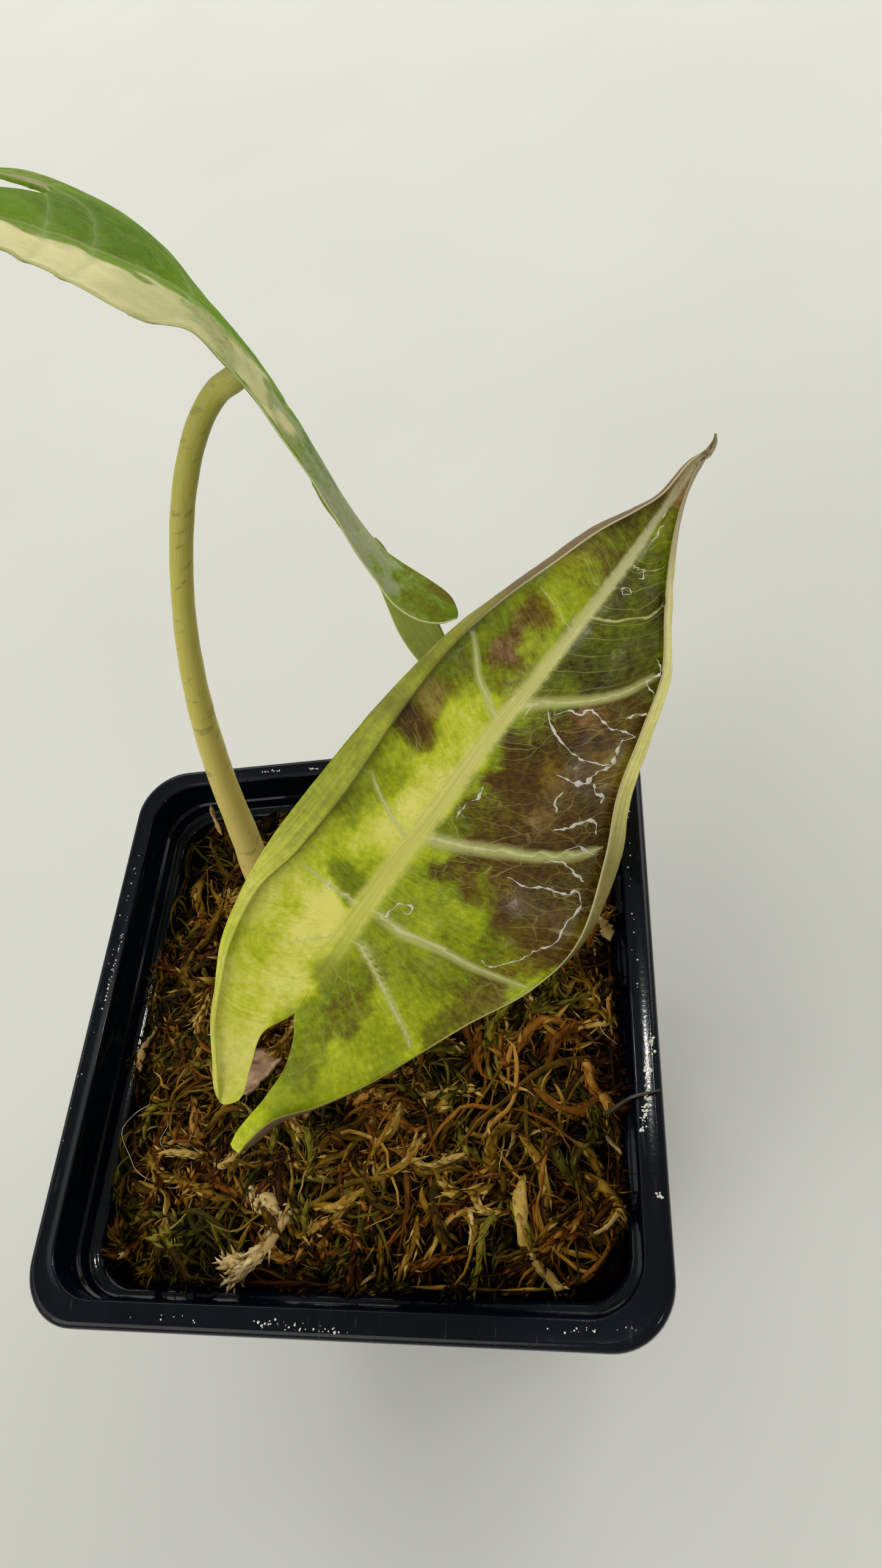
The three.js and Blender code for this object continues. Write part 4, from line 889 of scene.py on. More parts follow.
BACK_LOOK = {
    "greens": [(0, "#284006"), (0.2, "#466404"), (0.38, "#628408"), (0.5, "#848e4e"), (0.6, "#afae7a"),
               (1, "#d4cd98")],
    "bronzes": [(0, "#2c1c04"), (0.25, "#54480e"), (0.6, "#7c6c24"), (1, "#b7a76c")],
    # rose: a grey painted sheen, where the blade is seen at a grazing angle.
    "fray": 0.6, "rose": "#8a8c78", "net": 0.12, "net_colour": "#a9b078", "arcs_from": 2.0,
    "vein_share": 0.2, "vein": "#93a468", "ridge": "#b0ba88", "groove": "#6f8448",
    "midrib": [(0, "#9a9e70"), (0.5, "#949866"), (1, "#8f9c5a")],
    "border": [(0, "#9a9c5c"), (0.3, "#a8ae66"), (0.5, "#9aa456"), (0.52, "#8f9a68"), (1, "#8a9460")],
    "border_width": [(0, "#404040"), (0.5, "#404040"), (0.52, "#505050"), (1, "#505050")],
    "edge": [(0, "#c4c890"), (0.5, "#b4b878"), (0.52, "#b8bc8c"), (1, "#b0b484")],
    "under": [(0, "#7d8430"), (0.5, "#989c50"), (0.52, "#7c7c40"), (0.7, "#94906a"), (1, "#a8a47c")],
    "under_dark": "#5f6620",
    "through": [(0, "#909090"), (0.5, "#909090"), (0.56, "#909090"), (0.64, "#303030"), (1, "#303030")],
    "gloss": (0.5, 0.62), "wax": 0.04,
}
front_tissue = leaf_material("waxy_leaf_front", FRONT_LOOK)
back_tissue = leaf_material("waxy_leaf_back", BACK_LOOK)

# %% The two blades; the back leaf's veins are found on its own sheet
front_spots = [(a, b, size, size, *shares) for a, b, size, *shares in FRONT_PATCHES]
flat_front, raised_front, front_normal = blade_piece(
    "leaf_front", FRONT, front_tissue, ("blade_front",), FRONT_VEINS, FRONT_VEIN_WIDTHS,
    front_spots, False, 11)
sheet, _, sheet_ribs, sheet_shares, sheet_side, _ = blade_sheet(BACK)
back_routes = {}
for half, sign in (("left", -1), ("right", 1)):
    on = sheet_side == sign
    net = sheet[on], sheet_ribs[on], sheet_shares[on]
    back_routes[half] = [follow_ribs(*net, start) for start in BACK_VEIN_RIBS]
back_widths = {"left": BACK_VEIN_WIDTHS, "right": BACK_VEIN_WIDTHS}
blade_piece("leaf_back", BACK, back_tissue, ("blade_back",), back_routes, back_widths,
            BACK_PATCHES, True, 23)

# %% [markdown]
# ## The leaf stalks
# A kris plant's stalk is round, smooth and fleshy, and swollen at the foot, where it wraps the next leaf.
# Each is a circle carried along a smooth route. It is olive under the blade and cream at the foot, with
# short fine flecks.

# %% Rings joined to a closed skin
def skin(rings):
    """Rings (r, n, 3) joined in order; each end closes on the mean point of its ring."""
    points = np.concatenate([rings.reshape(-1, 3), [rings[0].mean(0)], [rings[-1].mean(0)]])
    return points, tube_faces(*rings.shape[:2])


# %% A tube along a route
def tube(route, radius, sides, rings, end=1.0, rough=0.0, seed=1):
    """Circles of a varying radius on a curve, which stops at the share end of its points. Each ring is
    square to the curve, and its first point is that of the ring before, turned as little as possible.
    radius is a function of the share of the length. It returns points, faces, and each point's share of the
    length and its angle."""
    line = through(route, np.linspace(0, (len(route) - 1) * end, 400))
    length = np.concatenate([[0], np.cumsum(np.linalg.norm(np.diff(line, axis=0), axis=1))])
    even = np.linspace(0, length[-1], rings)
    centre = np.stack([np.interp(even, length, line[:, k]) for k in range(3)], 1)
    ahead = np.gradient(centre, axis=0)
    ahead /= np.linalg.norm(ahead, axis=1, keepdims=True)
    up = np.zeros_like(centre)
    carried = np.cross(ahead[0], (1.0, 0.3, 0.1))
    for i in range(rings):
        carried = carried - ahead[i] * (carried @ ahead[i])
        carried = carried / np.linalg.norm(carried)
        up[i] = carried
    sideways = np.cross(ahead, up)
    angle = np.arange(sides) / sides * 2 * np.pi
    share = even / even[-1]
    size = radius(share)[:, None] * (1 + rough * wander(2.5 * np.cos(angle)[None], even[:, None], 6, seed))
    circle = np.cos(angle)[None, :, None] * up[:, None] + np.sin(angle)[None, :, None] * sideways[:, None]
    points, faces = skin(centre[:, None] + size[..., None] * circle)
    return points, faces, np.append(np.repeat(share, sides), [0, 1]), np.append(np.tile(angle, rings), [0, 0])


# %% The skin of the stalks
def stalk_material():
    """Fleshy stalk: a waxy gloss over cream and olive tissue, with fibres along it and flecks across it."""
    material, shader, node = new_material("fleshy_leaf_stalk")
    rise = node("Attribute", output="Fac", attribute_name="rise")
    turn = node("Attribute", output="Fac", attribute_name="turn")
    place = node("TexCoord", output="Object")
    colour = node("ValToRGB", {0: rise}, stops=[
        (0, "#cdbb74"), (0.3, "#c4b25c"), (0.45, "#b8ad4c"), (0.7, "#afa844"), (0.92, "#a5a23c"),
        (1, "#adab54")])
    lengthwise = node("CombineXYZ", {0: turn, 1: node("Math", {0: rise, 1: 6.0}, **TIMES)})
    fibres = node("TexNoise", {"Vector": lengthwise, "Scale": 7.0, "Detail": 3.0})
    across = node("Mapping", {"Vector": place, "Scale": (0.35, 0.35, 1.3)})
    flecks = node("TexNoise", {"Vector": across, "Scale": 900.0, "Detail": 2.0, "Roughness": 0.4})
    fleck = node("MapRange", {0: flecks, 1: 0.6, 2: 0.7}, **SMOOTH)
    fleck = node("Math", {0: fleck, 1: 0.5}, **TIMES)
    colour = node("Mix", {0: fleck, 6: colour, 7: "#6a6a26"}, **RGBA)
    fibre = node("MapRange", {0: fibres, 1: 0.35, 2: 0.75, 3: 0.0, 4: 0.35})
    colour = node("Mix", {0: fibre, 6: colour, 7: "#c9c08a"}, **RGBA)
    plug(shader, {
        "Base Color": colour, "Normal": node("Bump", {"Strength": 0.2, "Distance": 0.0002, "Height": fibres}),
        "Roughness": 0.4, "IOR": 1.42, "Specular IOR Level": 0.3, "Subsurface Weight": 0.3,
        "Subsurface Radius": (0.002, 0.0018, 0.0008), "Subsurface Scale": 1.0})
    return material


# %% The two stalks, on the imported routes: radii at the foot and under the blade, and where the route ends
BACK_ROUTE = [
    (-20.5, 21.5, 60), (-20.8, 23.5, 72), (-21.2, 28, 80), (-21.8, 34, 91), (-21.5, 40, 101.5),
    (-19.6, 46, 112.5), (-16.4, 51.7, 122.5), (-12.7, 56, 130.2), (-8.5, 59, 136), (-4.6, 60.2, 139.3),
    (-1.2, 59.8, 141), (1.5, 61, 142),
]
FRONT_ROUTE = [
    (-15.2, 19.5, 60), (-15.2, 19.5, 70), (-13.8, 18.6, 79), (-9.5, 15.6, 85.5), (-3.2, 11.9, 88.4),
    (2.2, 9.6, 89.2), (4, 7, 92.5),
]
STALKS = (("leaf_stalk_back", "stalk_back", BACK_ROUTE, 2.7, 1.65, 0.985),
          ("leaf_stalk_front", "stalk_front", FRONT_ROUTE, 2.6, 1.7, 0.95))


def narrowing(foot, neck, t):
    """Radius that goes evenly from foot to neck over the first five eighths of the length."""
    return foot + (neck - foot) * np.minimum(1, 1.6 * t)


stalk_skin = stalk_material()
for name, replaced, route, foot, neck, end in STALKS:
    points, faces, rise, turn = tube(route, partial(narrowing, foot, neck), 32, 160, end, 0.02)
    add_piece(name, points, faces, stalk_skin, (replaced,), {"rise": rise, "turn": turn})

# %% [markdown]
# ## The nursery pot
# It is injection-moulded polypropylene, near black with a blue cast. The wall is one outline carried round
# a square with round corners: body, step, skirt, flat flange and inner collar. Thin crisp edges catch the
# light.

# %% Sizes of the pot, and the outline of its wall
RIM_HALF = 43
RIM_HEIGHT = 80
COLLAR_HALF = 39.6
BODY_TOP = 72
BASE_HALF = 29
WALL = 1.2


def body_half(z):
    """Half width of the body's outside: it widens evenly from the base to just inside the collar."""
    return BASE_HALF + (COLLAR_HALF - 1.2 - BASE_HALF) * z / BODY_TOP


def corner_radius(z):
    """Corners are a little rounder at the base than at the rim."""
    return 9 - z / RIM_HEIGHT


def arc(half, z, radius, start, end, trim, steps=5):
    """A quarter or half turn of the outline: points at even angles round a centre."""
    angles = np.radians(np.linspace(start, end, steps))
    return [(half + radius * np.cos(a), z + radius * np.sin(a), trim) for a in angles]


# Each point: half width, height, and how much tighter the corner is there than corner_radius
outline = [(6, 0, 3.5), (15, 0, 2.5), (24, 0, 1.6)]
outline += arc(BASE_HALF - 1, 1, 1, 270, 355, 0.5)
outline += [(body_half(z), z, 0) for z in (8, 20, 35, 50, 62, 70)]
outline += [(body_half(71) + 0.4, 71.2, 0), (40.3, 71.8, 0), (COLLAR_HALF + WALL, 72.6, 0)]
outline += [(COLLAR_HALF + WALL, 78, 1), (41.2, 78.8, 1), (41.8, 78.8, 0.8), (42, 78.4, 0.8), (42, 77, 0.8)]
outline += arc(42.5, 77.1, 0.5, 200, 360, 0, 6)
outline += [(RIM_HALF, 78.2, 0)]
outline += arc(RIM_HALF - 0.9, RIM_HEIGHT - 0.95, 0.9, 0, 75, 0.1, 6)
outline += [(RIM_HALF - 0.82, RIM_HEIGHT, 0.2), (RIM_HALF - 1, RIM_HEIGHT - 0.02, 0.4)]
outline += [(41.3, RIM_HEIGHT - 0.06, 0.7), (COLLAR_HALF + 0.45, RIM_HEIGHT - 0.04, 1)]
outline += [(COLLAR_HALF + 0.28, RIM_HEIGHT, 1)]
outline += arc(COLLAR_HALF + 0.2, RIM_HEIGHT - 0.2, 0.2, 90, 180, 1, 4)
outline += [(COLLAR_HALF, 77, 1), (COLLAR_HALF, 74.6, 1.1), (COLLAR_HALF - 0.15, 74.3, 1.2)]
outline += [(39.2, 74.2, 1.3), (39.1, 74, 1.3), (39, 72.4, 1.3), (38.8, 72.1, 1.4)]
outline += [(38, 71.95, 1.8), (37.4, 71.8, 2), (37.3, 71, 2)]
outline += [(body_half(z) - WALL, z, 2) for z in (62, 50, 35, 20, 8)]
outline += [(body_half(3) - WALL - 0.3, 2.4, 2), (26.6, 1.5, 2.6)]
outline += [(24, WALL, 2.8), (15, WALL, 3), (6, WALL, 3.5)]
print("pot outline has", len(outline), "points")

# %% A square with round corners at every point of the outline
ARC_STEPS = 14
SIDE_STEPS = 16


def square_ring(half, z, trim):
    """Counter-clockwise ring at height z: straight sides cut evenly, and corners as arcs."""
    corner = corner_radius(z) - trim
    along = np.linspace(-1, 1, SIDE_STEPS + 1)[1:-1] * (half - corner)
    angles = np.linspace(0, np.pi / 2, ARC_STEPS + 1)
    x = np.concatenate([np.full(SIDE_STEPS - 1, half), half - corner + corner * np.cos(angles)])
    y = np.concatenate([along, half - corner + corner * np.sin(angles)])
    round_x, round_y = np.concatenate([x, -y, -x, y]), np.concatenate([y, x, -y, -x])
    return np.stack([round_x, round_y, np.full(len(round_x), float(z))], 1)


# %% The pot's plastic
def pot_material():
    """Moulded polypropylene: near black, blue in thin places, semi-gloss, with a fine grain and scuffs."""
    material, shader, node = new_material("moulded_polypropylene")
    place = node("TexCoord", output="Object")
    grain = node("TexNoise", {"Vector": place, "Scale": 2200.0, "Detail": 3.0})
    cloud = node("TexNoise", {"Vector": place, "Scale": 60.0, "Detail": 5.0, "Roughness": 0.6})
    drawn_out = node("Mapping", {"Vector": place, "Scale": (1.0, 0.12, 1.0)})
    scuffs = node("TexNoise", {"Vector": drawn_out, "Scale": 1500.0, "Detail": 2.0})
    scuff = node("MapRange", {0: scuffs, 1: 0.66, 2: 0.74}, **SMOOTH)
    scuff = node("Math", {0: scuff, 1: 0.25}, **TIMES)
    colour = node("ValToRGB", {0: cloud}, stops=[(0.3, "#010409"), (0.55, "#040c14"), (0.75, "#0c131a")])
    plug(shader, {
        "Base Color": node("Mix", {0: scuff, 6: colour, 7: "#3a4148"}, **RGBA),
        "Normal": node("Bump", {"Strength": 0.2, "Distance": 0.00005, "Height": grain}),
        "Roughness": node("MapRange", {0: cloud, 1: 0.3, 2: 0.75, 3: 0.08, 4: 0.16}),
        "IOR": 1.49, "Specular IOR Level": 0.16})
    return material


# %% Drain holes, and the pot
HOLE_RADIUS = 3.25
HOLE_OFFSET = 17
DRILL_LENGTH = 6


def cut_holes(piece):
    """Four round drain holes, cut by one Boolean each, applied at once."""
    for x, y in ((1, 1), (-1, 1), (-1, -1), (1, -1)):
        bpy.ops.mesh.primitive_cylinder_add(vertices=48, radius=HOLE_RADIUS * MM, depth=DRILL_LENGTH * MM,
                                            location=(x * HOLE_OFFSET * MM, y * HOLE_OFFSET * MM, 0))
        drill = bpy.context.object
        cut = piece.modifiers.new("drain", "BOOLEAN")
        cut.object = drill
        cut.operation = "DIFFERENCE"
        cut.solver = "EXACT"
        bpy.context.view_layer.objects.active = piece
        bpy.ops.object.modifier_apply(modifier=cut.name)
        bpy.data.objects.remove(drill, do_unlink=True)


points, faces = skin(np.stack([square_ring(*point) for point in outline]))
pot = add_piece("pot_shell", points, faces, pot_material(), ("nursery_pot",))
cut_holes(pot)

# %% [markdown]
# ## The sphagnum moss
# Long-fibred sphagnum is sold dry and swells with water. What shows is a tangle of stems, clothed in small
# pointed leaves that press to them like an ear of grain, among torn shreds and bare stems, in tans, ochres
# and browns with black gaps between. A lumpy bed fills the pot, coloured near black: partly wet moss, partly
# painted shade of the deep gaps. Thousands of stems and shreds lie on it. All of them are computed at once as
# arrays.

# %% The moss's height and tissue
MOSS_LEVEL = 72.2
MOSS_RELIEF = 2.6


def moss_height(x, y):
    """Height of the moss: tufts are a product of two bent waves, and lumps are two long waves."""
    tufts = np.sin(x * 0.55 + 1.3 * np.sin(y * 0.21)) * np.cos(y * 0.48 + 0.9 * np.sin(x * 0.27))
    lumps = np.sin(x * 0.19 - y * 0.13 + 0.7) + 0.6 * np.cos(y * 0.23 + x * 0.05)
    return MOSS_LEVEL + MOSS_RELIEF * (0.55 * tufts + 0.35 * lumps)


def moss_material(name, stops):
    """Wet dead moss: soft brown tissue, lighter at its edges, uneven from stem to stem, faintly glossy."""
    material, shader, node = new_material(name)
    tone = node("Attribute", output="Fac", attribute_name="tone")
    place = node("TexCoord", output="Object")
    blotch = node("TexNoise", {"Vector": place, "Scale": 420.0, "Detail": 4.0, "Roughness": 0.65})
    cloud = node("TexNoise", {"Vector": place, "Scale": 70.0, "Detail": 2.0})
    both = node("Math", {0: blotch, 1: 0.5, 2: tone}, **TIMES_PLUS)
    both = node("Math", {0: cloud, 1: 0.5, 2: both}, **TIMES_PLUS)
    both = node("Math", {0: both, 1: 0.5}, **LESS)
    plug(shader, {
        "Base Color": node("ValToRGB", {0: both}, stops=stops),
        "Normal": node("Bump", {"Strength": 0.4, "Distance": 0.0002, "Height": blotch}),
        "Roughness": 0.55, "Specular IOR Level": 0.06})
    return material


# %% The bed: rings up the pot's inside, then rings that close over the top
BED_DEPTH = 4.2
BED_EDGE = 69
BED_RINGS = 40

inside = [(6, 1.5, 3.5), (18, 1.5, 3), (24, 1.5, 2.8), (27, 2.6, 2.2)]
inside += [(body_half(z) - WALL - 0.35, z, 2.2) for z in (8, 25, 45, 60, 66, BED_EDGE)]
rings = [square_ring(*point) for point in inside]
edge = rings[-1]
for step in range(1, BED_RINGS):
    x, y = (edge[:, :2] * (1 - step / BED_RINGS)).T
    rough = 0.7 * wander(x, y, 4, 41) + 0.4 * wander(x, y, 1.8, 42)
    top = moss_height(x, y) - BED_DEPTH + rough
    rings.append(np.stack([x, y, BED_EDGE + (top - BED_EDGE) * min(1, step / 5)], 1))
points, faces = skin(np.stack(rings))
# Near black: partly wet moss, partly painted shade of the deep gaps between the stems.
bed_tissue = moss_material("wet_moss_and_gap_shade", [(0, "#050301"), (0.5, "#120a04"), (1, "#2c1c0c")])
add_piece("moss_bed", points, faces, bed_tissue, ("sphagnum_moss",),
          {"tone": 0.5 + 0.3 * wander(points[:, 0], points[:, 1], 6, 43)})

# %% Centre lines of the stems
MOSS_REACH = 36.4
MOSS_TOP = 2.6


def strand_paths(count, length, seed, clumps, depth, arch, nodes, scatter, fan, bend, start):
    """Each line is a walk of equal steps whose heading bends steadily and wriggles. The lines of a clump
    begin within scatter of its home, spread by fan radians and bend by bend radians a millimetre; start is
    the share of the length that lies behind the home. Each rises and falls as an arch on the moss height,
    and sinks at the walls. It returns the lines and a tone for each, which is darker for the sunk ones:
    partly wetter moss, partly painted shade of the gaps they lie in."""
    draw = np.random.default_rng(seed)
    home = draw.uniform(-MOSS_REACH, MOSS_REACH, (clumps, 2))
    clump_turn = draw.uniform(0, 2 * np.pi, clumps)
    clump_bend = draw.normal(0, bend, clumps)
    clump = draw.integers(0, clumps, count)
    size = draw.uniform(*length, count)
    step = size / (nodes - 1)
    first_turn = clump_turn[clump] + draw.normal(0, fan, count)
    bending = step * (clump_bend[clump] + draw.normal(0, bend, count))
    turn = first_turn[:, None] + np.arange(nodes) * bending[:, None]
    turn = turn + np.cumsum(draw.normal(0, 0.2, (count, nodes)), 1)
    flat = np.stack([np.cos(turn), np.sin(turn)], -1) * step[:, None, None]
    path = (home[clump] + draw.normal(0, scatter, (count, 2)))[:, None] + np.cumsum(flat, 1)
    path = path - start * flat.sum(1, keepdims=True)
    outward = (np.abs(path[..., 0]) ** 8 + np.abs(path[..., 1]) ** 8) ** (1 / 8)
    path = path / np.maximum(outward / MOSS_REACH, 1)[..., None]
    share = np.linspace(-1, 1, nodes)
    rise = draw.uniform(-0.3, arch, (count, 1)) * (1 - share ** 2)
    tilt = draw.normal(0, 0.11, (count, 1)) * size[:, None] * share
    level = moss_height(path[..., 0], path[..., 1])
    wall = np.clip((np.minimum(outward, MOSS_REACH) - 29) / 7, 0, 1)
    z = level + draw.normal(*depth, (count, 1)) + (rise + tilt) - 1.8 * wall ** 2
    z = np.minimum(z, level + MOSS_TOP - 1.6 * wall)
    # The darker tone of sunk strands is partly wetter moss and partly painted shade.
    sunk = np.clip((level - z).mean(1) / 3, -0.5, 1)
    tone = 0.4 * draw.uniform(0, 1, clumps)[clump] + 0.45 * draw.uniform(0, 1, count) + 0.08 - 0.5 * sunk
    return np.concatenate([path, z[..., None]], -1), tone


def strand_frame(path):
    """Unit vectors ahead, to the side and up at every node of every line."""
    ahead = np.gradient(path, axis=1)
    ahead /= np.linalg.norm(ahead, axis=2, keepdims=True)
    beside = np.cross(ahead, (0.2, 0.1, 1.0))
    beside /= np.linalg.norm(beside, axis=2, keepdims=True)
    return ahead, beside, np.cross(beside, ahead)


# %% Round or flat stems
def stems(path, tone, width, flatness, sides, seed, twist=0.0, taper=0.0):
    """Closed tubes of a few sides on every line: an ellipse that turns slowly and narrows to both ends, and
    by the share taper more to the far one, which is also paler then. It returns points, faces and tones."""
    draw = np.random.default_rng(seed)
    count, nodes = path.shape[:2]
    ahead, beside, above = strand_frame(path)
    share = np.linspace(0, 1, nodes)
    size = draw.uniform(*width, (count, 1))
    size = size * (1 - 0.75 * np.abs(2 * share - 1) ** 4) * (1 - taper * share ** 1.2)
    size = size * draw.uniform(0.75, 1.25, (count, nodes))
    turned = draw.uniform(0, 6.3, (count, 1)) + draw.normal(0, twist, (count, 1)) * share
    angle = np.arange(sides) / sides * 2 * np.pi
    long, short = np.cos(angle), flatness * np.sin(angle)
    c, s = np.cos(turned)[..., None], np.sin(turned)[..., None]
    ring = ((long * c - short * s)[..., None] * beside[:, :, None]
            + (long * s + short * c)[..., None] * above[:, :, None])
    tube_points = path[:, :, None] + size[..., None, None] / 2 * ring
    ends = np.stack([path[:, 0] - ahead[:, 0] * 0.3, path[:, -1] + ahead[:, -1] * 0.3], 1)
    points = np.concatenate([tube_points.reshape(count, -1, 3), ends], 1)
    paler = taper * np.append(np.repeat(0.3 * share - 0.12, sides), [-0.12, 0.18])
    tones = (tone[:, None] + paler + 0.06 * draw.normal(0, 1, (count, points.shape[1]))).ravel()
    return points.reshape(-1, 3), repeated(tube_faces(nodes, sides), count, points.shape[1]), tones


# %% Leaves on the stems
SCALE_FACES = [np.array([[0, 1, 3], [0, 3, 2], [1, 4, 3], [3, 4, 2], [0, 2, 1], [1, 2, 4]])]
SCALE_TONES = (-0.25, -0.05, -0.05, 0.02, 0.16)


def scale_leaves(path, tone, leaves, reach, width, stem, seed, pressed, tuft):
    """Pointed leaves in a spiral, 2.4 radians apart. Each is a closed scale of five points: its root, two
    sides, its ridge and its tip. Most press close to the stem, leaning out by pressed radians, some are
    torn loose, and at the end of a share tuft of the stems all splay. Returned: points, faces and tones."""
    draw = np.random.default_rng(seed)
    count, nodes = path.shape[:2]
    place = (np.arange(leaves) + 0.3) / leaves * (nodes - 1) * 0.99
    low = np.minimum(place.astype(int), nodes - 2)
    part = (place - low)[None, :, None]
    sides = (path, *strand_frame(path))
    base, forward, left, up = (v[:, low] * (1 - part) + v[:, low + 1] * part for v in sides)
    share = place / (nodes - 1)
    angle = np.arange(leaves) * 2.4 + draw.uniform(0, 6.3, (count, 1)) + draw.normal(0, 0.25, (count, leaves))
    out = np.cos(angle)[..., None] * left + np.sin(angle)[..., None] * up
    beside = np.cross(forward, out)
    splay = (draw.random((count, 1)) < tuft) * ramp(share, 0.7, 1.0)
    loose = 0.7 * (draw.random((count, leaves)) < 0.14)
    lean = pressed + draw.normal(0, 0.13, (count, leaves)) + 0.6 * splay + loose
    lean = np.clip(lean, 0.03, 1.3)[..., None]
    along = forward * np.cos(lean) + out * np.sin(lean)
    away = out * np.cos(lean) - forward * np.sin(lean)
    grown = (0.6 + 0.4 * np.sin(np.pi * share ** 0.8)) * draw.uniform(0.8, 1.25, (count, leaves))
    grown = (grown * draw.uniform(0.75, 1.25, (count, 1)))[..., None]
    root = base + out * stem * 0.35
    middle = root + along * reach * 0.42 * grown
    side = beside * width / 2 * grown
    curl = draw.normal(0.04, 0.16, (count, leaves, 1))
    swerve = draw.normal(0, 0.2, (count, leaves, 1))
    ridge = middle + away * width * 0.2 * grown
    tip = root + (along + away * curl + beside * swerve) * reach * grown
    points = np.stack([root, middle + side, middle - side, ridge, tip], 2).reshape(-1, 3)
    tones = np.repeat(tone, leaves) + 0.12 * draw.normal(0, 1, count * leaves)
    tones = np.repeat(tones, 5) + np.tile(SCALE_TONES, count * leaves)
    return points, repeated(SCALE_FACES, count * leaves, 5), tones


# %% Leafy stems, torn shreds and bare stems, in three colours: how many of each, the seed, the colours
MOSS_LOTS = {
    "russet": (300, 900, 120, 101,
               [(0, "#040100"), (0.3, "#261001"), (0.55, "#4f2b04"), (0.8, "#804f10"), (1, "#a87a34")]),
    "ochre": (370, 1100, 170, 202,
              [(0, "#050300"), (0.3, "#2c1c02"), (0.55, "#594006"), (0.8, "#8c681c"), (1, "#bd9e54")]),
    "olive": (150, 420, 60, 303, [(0, "#040400"), (0.3, "#1e1a01"), (0.6, "#403905"), (1, "#7c7022")]),
}
for name, (leafy, torn, bare, seed, stops) in MOSS_LOTS.items():
    tissue = moss_material("moss_tissue_" + name, stops)
    path, tone = strand_paths(leafy, (7, 19), seed, leafy // 4, (-0.5, 1.0), 3.0, 12, 2.0, 0.7, 0.1, 0.2)
    leafy_stems = joined([stems(path, tone - 0.06, (1.1, 2.1), 0.7, 8, seed + 1, 1.5, 0.35),
                          scale_leaves(path, tone, 34, 2.3, 0.85, 1.7, seed + 2, 0.1, 0.8)])
    path, tone = strand_paths(torn, (4, 14), seed + 5, torn // 6, (-0.7, 1.0), 2.6, 9, 1.0, 0.45, 0.13, 0.1)
    shreds = stems(path, tone, (0.35, 1.2), 0.5, 4, seed + 6, 2.5, 0.8)
    path, tone = strand_paths(bare, (12, 30), seed + 8, bare // 5, (-0.1, 0.8), 2.6, 16, 1.8, 0.25, 0.07, 0.5)
    bare_stems = stems(path, tone + 0.05, (0.3, 1.0), 0.5, 6, seed + 9, 4.0)
    kinds = {"moss_": leafy_stems, "moss_shreds_": shreds, "moss_stems_": bare_stems}
    for kind, (points, faces, tones) in kinds.items():
        add_piece(kind + name, points, faces, tissue, (), {"tone": tones})

# %% [markdown]
# ## Single strands, hairs and water
# A few strands stand out from the bed: a dry knobbly shoot, some pale bare fibres, and two hairs that fell
# on the moss. The leaf and the rim are wet. On the leaf the film of water ends in thin raised ridges, and
# on the rim it stands in beads. The water has a near-white colour, a painted highlight, so its glints show
# most.

# %% A dry shoot and pale fibres, laid on the moss
def on_moss(route, lift, nodes):
    """A smooth line through chosen places at a height above the moss, in even steps of its parameter."""
    line = through(route, np.linspace(0, len(route) - 1, nodes))
    return np.concatenate([line, moss_height(line[:, :1], line[:, 1:]) + lift], 1)[None]


straw = moss_material("dry_straw_moss", [(0, "#4a3415"), (0.35, "#8d7140"), (0.7, "#b99c62"), (1, "#dcc694")])
SHOOT = [(-14.6, -24.5), (-12.2, -26.8), (-8.8, -27.6), (-10, -29.6), (-11.6, -33), (-14, -35), (-16, -36.6)]
BRANCH = [(-12.4, -34.2), (-15, -34.6), (-17.2, -33.8)]
SHOOT_TONE = np.array([0.78])
parts = []
shoots = (on_moss(SHOOT, 1.6, 24), 110, 0.9, 61), (on_moss(BRANCH, 1.8, 12), 40, 0.8, 62)
for path, leaves, width, seed in shoots:
    parts.append(stems(path, SHOOT_TONE, (2.6, 3.0), 0.6, 8, seed, 3.0))
    parts.append(scale_leaves(path, SHOOT_TONE, leaves, 2.2, width, 2.2, seed + 10, 0.16, 0.8))
points, faces, tones = joined(parts)
add_piece("dry_shoot", points, faces, straw, (), {"tone": tones})

# Each fibre: its places, its width and its height above the moss
PALE_FIBRES = [
    ([(32.5, -30), (34.8, -28.8), (36.2, -27.4), (37.2, -26.4)], 0.8, 1.8),
    ([(35, -17.6), (36, -18.6), (36.8, -19.6)], 1.2, 1.4),
    ([(22.6, -16.6), (22.6, -18.2), (21.6, -20.6)], 0.7, 1.6),
    ([(27.6, -28), (27.8, -29.8), (28.2, -31.4)], 1.0, 1.4),
    ([(15.8, -26.6), (17.4, -28), (17.6, -30), (17, -32)], 0.7, 1.7),
    ([(-19.4, -20.2), (-17, -21.6), (-14.4, -21.8), (-12, -20.8), (-9.6, -21.2), (-5.8, -20.4)], 1.0, 1.6),
    ([(-21, -23.8), (-20.4, -25.4), (-21, -26.6)], 0.8, 1.5),
    ([(22, -19.8), (25, -17.6), (28, -16.8)], 0.8, 1.4),
    ([(-34.2, -34), (-33.4, -33.4), (-32.6, -33)], 0.8, 1.2),
    ([(-36.4, 4), (-35.8, 0), (-36.2, -4), (-35.4, -8)], 1.6, 0.8),
    ([(-31.6, 38), (-30.4, 35.3), (-28.8, 32.4)], 1.1, 2.4),
    ([(3, -32.6), (4, -34.4), (2.6, -36.2)], 0.7, 1.4),
    ([(34.8, 12.8), (36.2, 11.6), (36.8, 9.7)], 2.2, 2.6),
]
parts = []
for k, (route, width, lift) in enumerate(PALE_FIBRES):
    fibre_tone = np.array([0.55 + 0.03 * (k % 5)])
    parts.append(stems(on_moss(route, lift, 24), fibre_tone, (width, width), 0.5, 8, 70 + k, 1.5))
points, faces, tones = joined(parts)
add_piece("pale_fibres", points, faces, straw, (), {"tone": tones})


